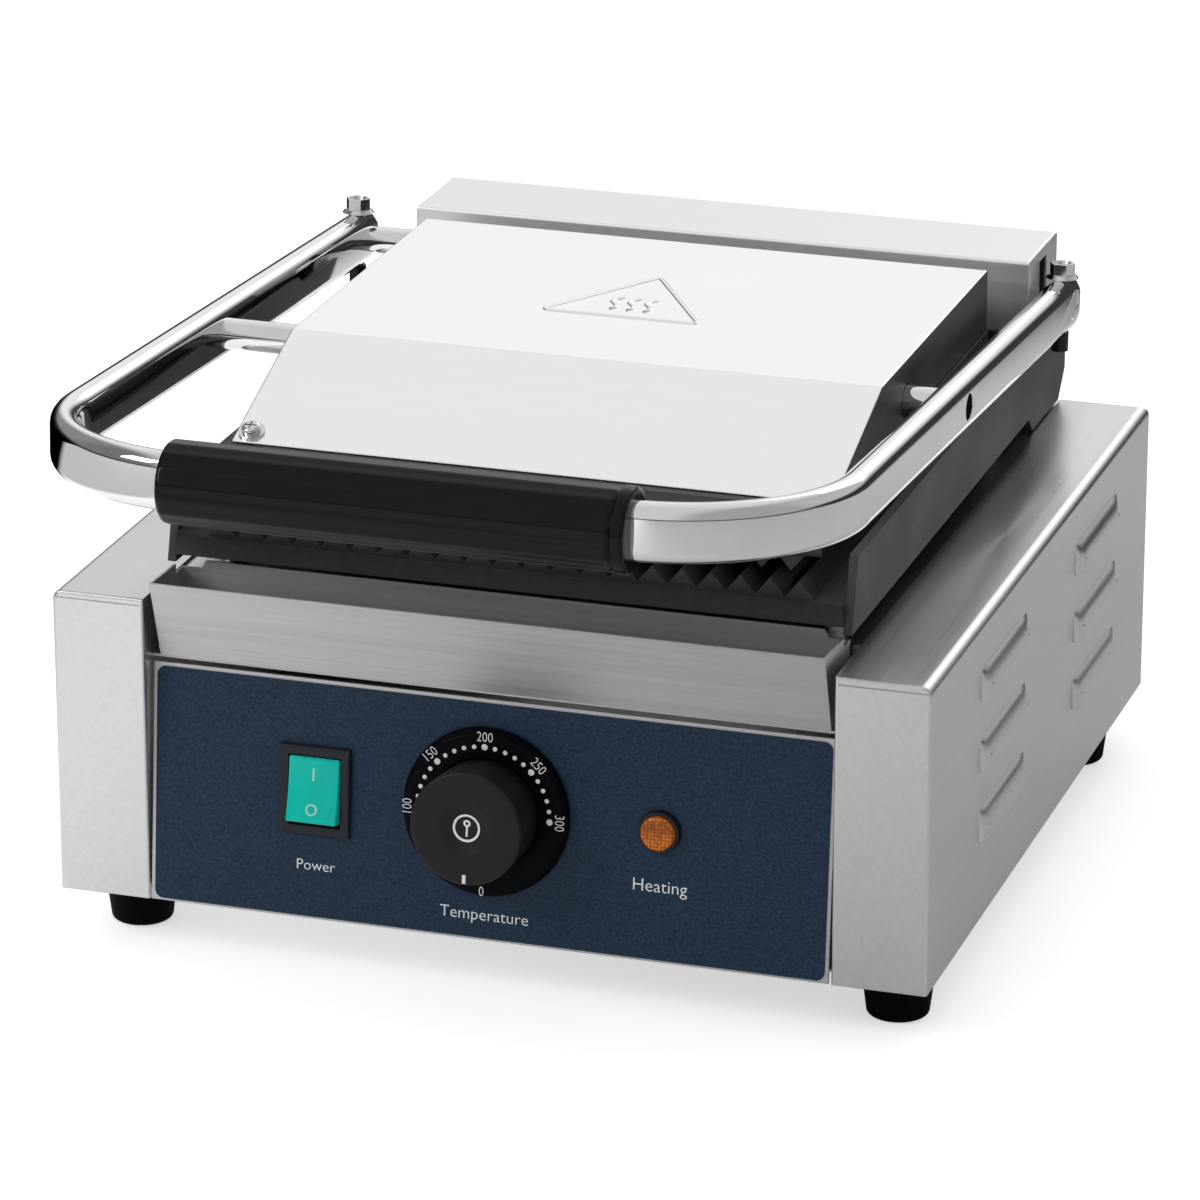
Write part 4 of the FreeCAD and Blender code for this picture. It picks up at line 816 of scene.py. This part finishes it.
def buildKnob():
    profile = [(knob["foot"], 0.6 * mm), (knob["foot"] + 0.06 * mm, 3 * mm)]
    profile += [(knob["face"], knob["out"] - knob["edge"])]
    for i in range(1, 7):
        a = math.pi / 2 * i / 6
        profile.append((knob["face"] - knob["edge"] + knob["edge"] * math.cos(a),
                        knob["out"] - knob["edge"] + knob["edge"] * math.sin(a)))
    for i in range(25):
        radius = (knob["dimple"] + 0.3 * mm) * (1 - i / 24) + 0.02 * mm
        profile.append((radius, knobHeight(radius)))
    stand = onPanel(0, controlRise)
    dressMesh("knobMoulding", latheMesh("knobMoulding", profile, stand, 128), satinBlack, "knob",
              ("thermostat_knob",), 30)
    marks = [ringMesh(3.95 * mm, 4.75 * mm, 0.05 * mm, Matrix.Identity(4)),
             ringMesh(0.55 * mm, 1.25 * mm, 0.05 * mm, Matrix.Translation((0, 1.5 * mm, 0)), 24),
             barMesh(0.7 * mm, 3.4 * mm, 0.05 * mm, Matrix.Translation((0, -1.3 * mm, 0))),
             barMesh(1.3 * mm, 3.0 * mm, 0.06 * mm, Matrix.Translation((0, -17.2 * mm, 0)))]
    for mesh in marks:
        for vertex in mesh.vertices:
            vertex.co.z += knobHeight(math.hypot(vertex.co.x, vertex.co.y))
        mesh.transform(stand)
    joinPiece("knobMarks", marks, ink, "knob")


def textMesh(words, shift, wide=None, tall=None, squeeze=1.0):
    # words as a flat mesh, centred, sized by its width or height
    curve = bpy.data.curves.new(words, "FONT")
    curve.body = words
    curve.resolution_u = 3
    curve.offset = -0.008
    thing = bpy.data.objects.new(words, curve)
    scene.collection.objects.link(thing)
    bpy.context.view_layer.update()
    mesh = bpy.data.meshes.new_from_object(
        thing.evaluated_get(bpy.context.evaluated_depsgraph_get()))
    bpy.data.objects.remove(thing)
    points = np.array([v.co[:] for v in mesh.vertices])
    low, high = points.min(0), points.max(0)
    size = wide / (high[0] - low[0]) if wide else tall / (high[1] - low[1])
    mesh.transform(shift @ Matrix.Diagonal((size * squeeze, size, size, 1))
                   @ Matrix.Translation(Vector(-(low + high) / 2)))
    return mesh


buildDial()
buildKnob()
figures = []
for words, angle in (("100", -90), ("150", -45), ("200", 0), ("250", 45), ("300", 90), ("0", 180)):
    a = math.radians(angle)
    spot = onPanel(0, controlRise, dial["thick"] + 0.06 * mm) @ Matrix.Translation(
        (dial["figures"] * math.sin(a), dial["figures"] * math.cos(a), 0)) @ Matrix.Rotation(
            -a, 4, "Z")
    figures.append(textMesh(words, spot, tall=dial["tall"], squeeze=0.8))
joinPiece("dialFigures", figures, ink, "base", merge=False)
words = [textMesh(word, onPanel(across * mm, rise * mm, 0.06 * mm), wide=wide * mm)
         for word, across, rise, wide in (("Power", -60.1, 18.2, 13.6),
                                          ("Temperature", -0.3, 7.6, 31.0),
                                          ("Heating", 60.7, 25.0, 18.7))]
joinPiece("panelWords", words, ink, "base", merge=False)

rocker = {"across": -60.5 * mm, "pin": -2.0 * mm, "tilt": math.radians(-8), "half": 11.2 * mm}
rockerPlace = onPanel(rocker["across"], controlRise, rocker["pin"], 0, rocker["tilt"])


def rockerFace(y):
    return (5.42 + 0.82 * (abs(y) / rocker["half"]) ** 1.6) * mm


def buildRocker():
    # a long section bent along the height, with the ends eased
    half, side = rocker["half"], 9.0 * mm
    ease = 0.7 * mm
    rows = []
    for x, drop in ((-side, ease), (-side + ease * 0.3, ease * 0.3), (-side + ease, 0),
                    (side - ease, 0), (side - ease * 0.3, ease * 0.3), (side, ease)):
        loop = [(x, half - drop, -1.5 * mm), (x, half - drop, rockerFace(half) - ease)]
        for i in range(21):
            y = (half - ease) * (1 - i / 10)
            loop.append((x, y, rockerFace(y) - drop))
        loop += [(x, -half + drop, rockerFace(half) - ease), (x, -half + drop, -1.5 * mm),
                 (x, -3 * mm, -5.5 * mm), (x, 3 * mm, -5.5 * mm)]
        rows.append(loop)
    mesh = gridMesh("rockerCap", rows, True, True)
    mesh.transform(rockerPlace)
    joinPiece("rockerCap", [mesh], tealRocker, "rocker", ("switch_rocker",), 35)


buildRocker()
marks = [barMesh(0.75 * mm, 4.3 * mm, 0.05 * mm,
                 Matrix.Translation((0, 5.4 * mm, rockerFace(5.4 * mm)))
                 @ Matrix.Rotation(math.atan(0.8 / 11.2), 4, "X")),
         ringMesh(1.45 * mm, 2.05 * mm, 0.05 * mm,
                  Matrix.Translation((0, -6.6 * mm, rockerFace(6.6 * mm)))
                  @ Matrix.Rotation(-math.atan(0.8 / 11.2), 4, "X"), 32)]
for mesh in marks:
    mesh.transform(rockerPlace)
joinPiece("rockerMarks", marks, rockerInk, "rocker")
print("controls built")

# the raised sign on the lid: a rounded triangle with three heat waves, tips in mm
sign = {"tips": ((-28.3, 29.6), (24.1, 29.6), (-2.1, 73.2)), "high": 0.5 * mm}


def ridgeLoop(tips, radius, height):
    loop = []
    for k, tip in enumerate(tips):
        tip = Vector(tip)
        a = (tip - Vector(tips[k - 1])).normalized()
        b = (Vector(tips[(k + 1) % 3]) - tip).normalized()
        first, last = math.atan2(-a.x, a.y), math.atan2(-b.x, b.y)
        if last < first:
            last += 2 * math.pi
        for i in range(9):
            angle = first + (last - first) * i / 8
            loop.append((tip.x * mm + radius * math.cos(angle),
                         tip.y * mm + radius * math.sin(angle), lidHigh.z + height))
    return loop


def buildSign():
    tips, high = sign["tips"], sign["high"]
    soft = [(2.3, -0.1), (2.05, 0.55), (1.75, 0.9), (1.35, 1.0), (0.95, 0.9), (0.65, 0.55),
            (0.4, -0.1)]
    rows = [ridgeLoop(tips, r * mm, z * high) for r, z in soft]
    outline = gridMesh("signOutline", rows, True)
    rows = []
    for k in range(25):
        t = k / 24
        y = (t - 0.5) * 15 * mm
        x = 1.5 * mm * math.sin(2 * math.pi * t * 1.25)
        thin = math.sqrt(max(0.02, 1 - (2 * t - 1) ** 6))
        rows.append([(x + w * mm * thin, y, z * high) for w, z in
                     ((-1.1, -0.1), (-0.8, 0.6), (-0.4, 0.95), (0, 1.0), (0.4, 0.95), (0.8, 0.6),
                      (1.1, -0.1))])
    wave = gridMesh("heatWave", rows)
    spots = [Matrix.Translation(((-2.1 + 6.2 * i) * mm, 43.5 * mm, lidHigh.z))
             for i in (-1, 0, 1)]
    joinPiece("signOutline", [outline], steelLid, "upper", angle=60)
    repeatPiece("signWaves", wave, spots, steelLid, "upper", angle=60)


buildSign()
print("sign built")

view = {"place": (0.638703, -1.985213, 0.857930), "turn": 17.838, "tilt": 20.033, "lens": 191.66}
camera = bpy.data.objects.new("camera", bpy.data.cameras.new("camera"))
camera.data.lens = view["lens"]
camera.data.sensor_width = 36
camera.data.clip_end = 30
camera.location = view["place"]
camera.rotation_euler = (math.radians(90 - view["tilt"]), 0, math.radians(view["turn"]))
scene.collection.objects.link(camera)
scene.camera = camera

lamps = {"key": ((-1.7, -1.5, 1.5), 0.9, 20), "rim": ((0.5, 2.3, 1.5), 1.4, 6)}
for name, (place, size, power) in lamps.items():
    light = bpy.data.lights.new(name, "AREA")
    light.size, light.energy = size, power
    thing = bpy.data.objects.new(name, light)
    thing.location = place
    thing.rotation_euler = (Vector((0, 0, 0.1)) - Vector(place)).to_track_quat("-Z", "Y").to_euler()
    scene.collection.objects.link(thing)


def studioWorld():
    # a pale room: bright wall behind, softer ceiling and front, and a dark band low down
    world = bpy.data.worlds.new("studio")
    scene.world = world
    world.use_nodes = True
    tree = world.node_tree
    coord = addNode(tree, "ShaderNodeTexCoord")
    split = addNode(tree, "ShaderNodeSeparateXYZ")
    tree.links.new(coord.outputs["Generated"], split.inputs[0])
    x, y, z = split.outputs

    def ramp(value, low, high, start, end):
        return rampNode(tree, value, low, high, start, end, "SMOOTHSTEP")

    def times(a, b):
        return mathNode(tree, "MULTIPLY", a, b)

    behind = ramp(y, -0.05, 0.35, 0.0, 1.0)
    wall = times(times(behind, ramp(z, 0.04, 0.22, 0.06, 1.0)), ramp(z, 0.5, 0.95, 1.03, 0.87))
    front = times(ramp(y, -0.05, 0.35, 1.0, 0.0), ramp(z, 0.0, 0.1, 0.04, 0.75))
    sides = times(ramp(x, -0.62, -0.42, 0.3, 1.0), ramp(x, 0.15, 0.5, 1.0, 0.6))
    total = times(mathNode(tree, "ADD", wall, front), sides)
    light = tree.nodes["Background"]   # what lights the press
    light.inputs["Color"].default_value = (1, 1, 1, 1)
    tree.links.new(total, light.inputs["Strength"])
    seen = addNode(tree, "ShaderNodeBackground", Color=(1, 1, 1, 1), Strength=1.0)   # plain white
    path = addNode(tree, "ShaderNodeLightPath")
    both = addNode(tree, "ShaderNodeMixShader")
    tree.links.new(path.outputs["Is Camera Ray"], both.inputs[0])
    tree.links.new(light.outputs[0], both.inputs[1])
    tree.links.new(seen.outputs[0], both.inputs[2])
    tree.links.new(both.outputs[0], tree.nodes["World Output"].inputs["Surface"])


def flatSheet(name, height, reach):
    mesh = bpy.data.meshes.new(name)
    mesh.from_pydata([(-reach, -reach, height), (reach, -reach, height), (reach, reach, height),
                      (-reach, reach, height)], [], [(0, 1, 2, 3)])
    sheet = bpy.data.objects.new(name, mesh)
    scene.collection.objects.link(sheet)
    return sheet


def buildFloor():
    # one plain pale colour, lit a little from below so that it meets the pale room
    floor = flatSheet("floor", -0.0003, 6.0)
    material, tree, shader = newMaterial("paleFloor")
    shader.inputs["Base Color"].default_value = (0.86, 0.86, 0.86, 1)
    shader.inputs["Roughness"].default_value = 0.8
    shader.inputs["Specular IOR Level"].default_value = 0.0
    shader.inputs["Emission Color"].default_value = (1, 1, 1, 1)
    path = addNode(tree, "ShaderNodeLightPath")
    glow = mathNode(tree, "MULTIPLY_ADD", path.outputs["Is Camera Ray"], 0.35, 0.2)
    tree.links.new(glow, shader.inputs["Emission Strength"])
    floor.data.materials.append(material)


def buildPaintedReflections():
    # glowing grey cards lie over the floor, painted reflections: metal mirrors them, nothing else
    # sees them
    cards = flatSheet("studioCards", -0.0001, 6.0)
    cards.visible_camera = cards.visible_diffuse = cards.visible_shadow = False
    cards.visible_transmission = False
    material, tree, shader = newMaterial("studioCards")
    coord = addNode(tree, "ShaderNodeTexCoord")
    split = addNode(tree, "ShaderNodeSeparateXYZ")
    tree.links.new(coord.outputs["Object"], split.inputs[0])

    def ramp(axis, low, high, start, end):
        return rampNode(tree, split.outputs[axis], low, high, start, end, "SMOOTHSTEP")

    def times(a, b):
        return mathNode(tree, "MULTIPLY", a, b)

    # painted dark reflections: a dark patch to the left and behind, a darker far end behind, and a
    # darker strip far left
    darkReflectionPatch = times(ramp("X", -0.34, -0.28, 1.0, 0.0), ramp("Y", 0.08, 0.16, 0.0, 1.0))
    grey = times(mathNode(tree, "SUBTRACT", 1.0, darkReflectionPatch), ramp("Y", 0.5, 0.9, 1.0, 0.08))
    grey = times(grey, ramp("X", -0.44, -0.33, 0.52, 1.0))
    # the cards glow, brighter to the left, and are paler to the left: painted light in the metal's
    # reflections, not a lamp
    tree.links.new(times(grey, ramp("X", -0.3, 0.15, 0.5, 0.0)), shader.inputs["Emission Strength"])
    shader.inputs["Emission Color"].default_value = (1, 1, 1, 1)
    tree.links.new(times(grey, ramp("X", 0.0, 0.3, 0.9, 0.76)), shader.inputs["Base Color"])
    shader.inputs["Roughness"].default_value = 0.8
    shader.inputs["Specular IOR Level"].default_value = 0.0
    cards.data.materials.append(material)


studioWorld()
buildFloor()
buildPaintedReflections()
print("studio built")
scene.view_settings.view_transform = "Standard"
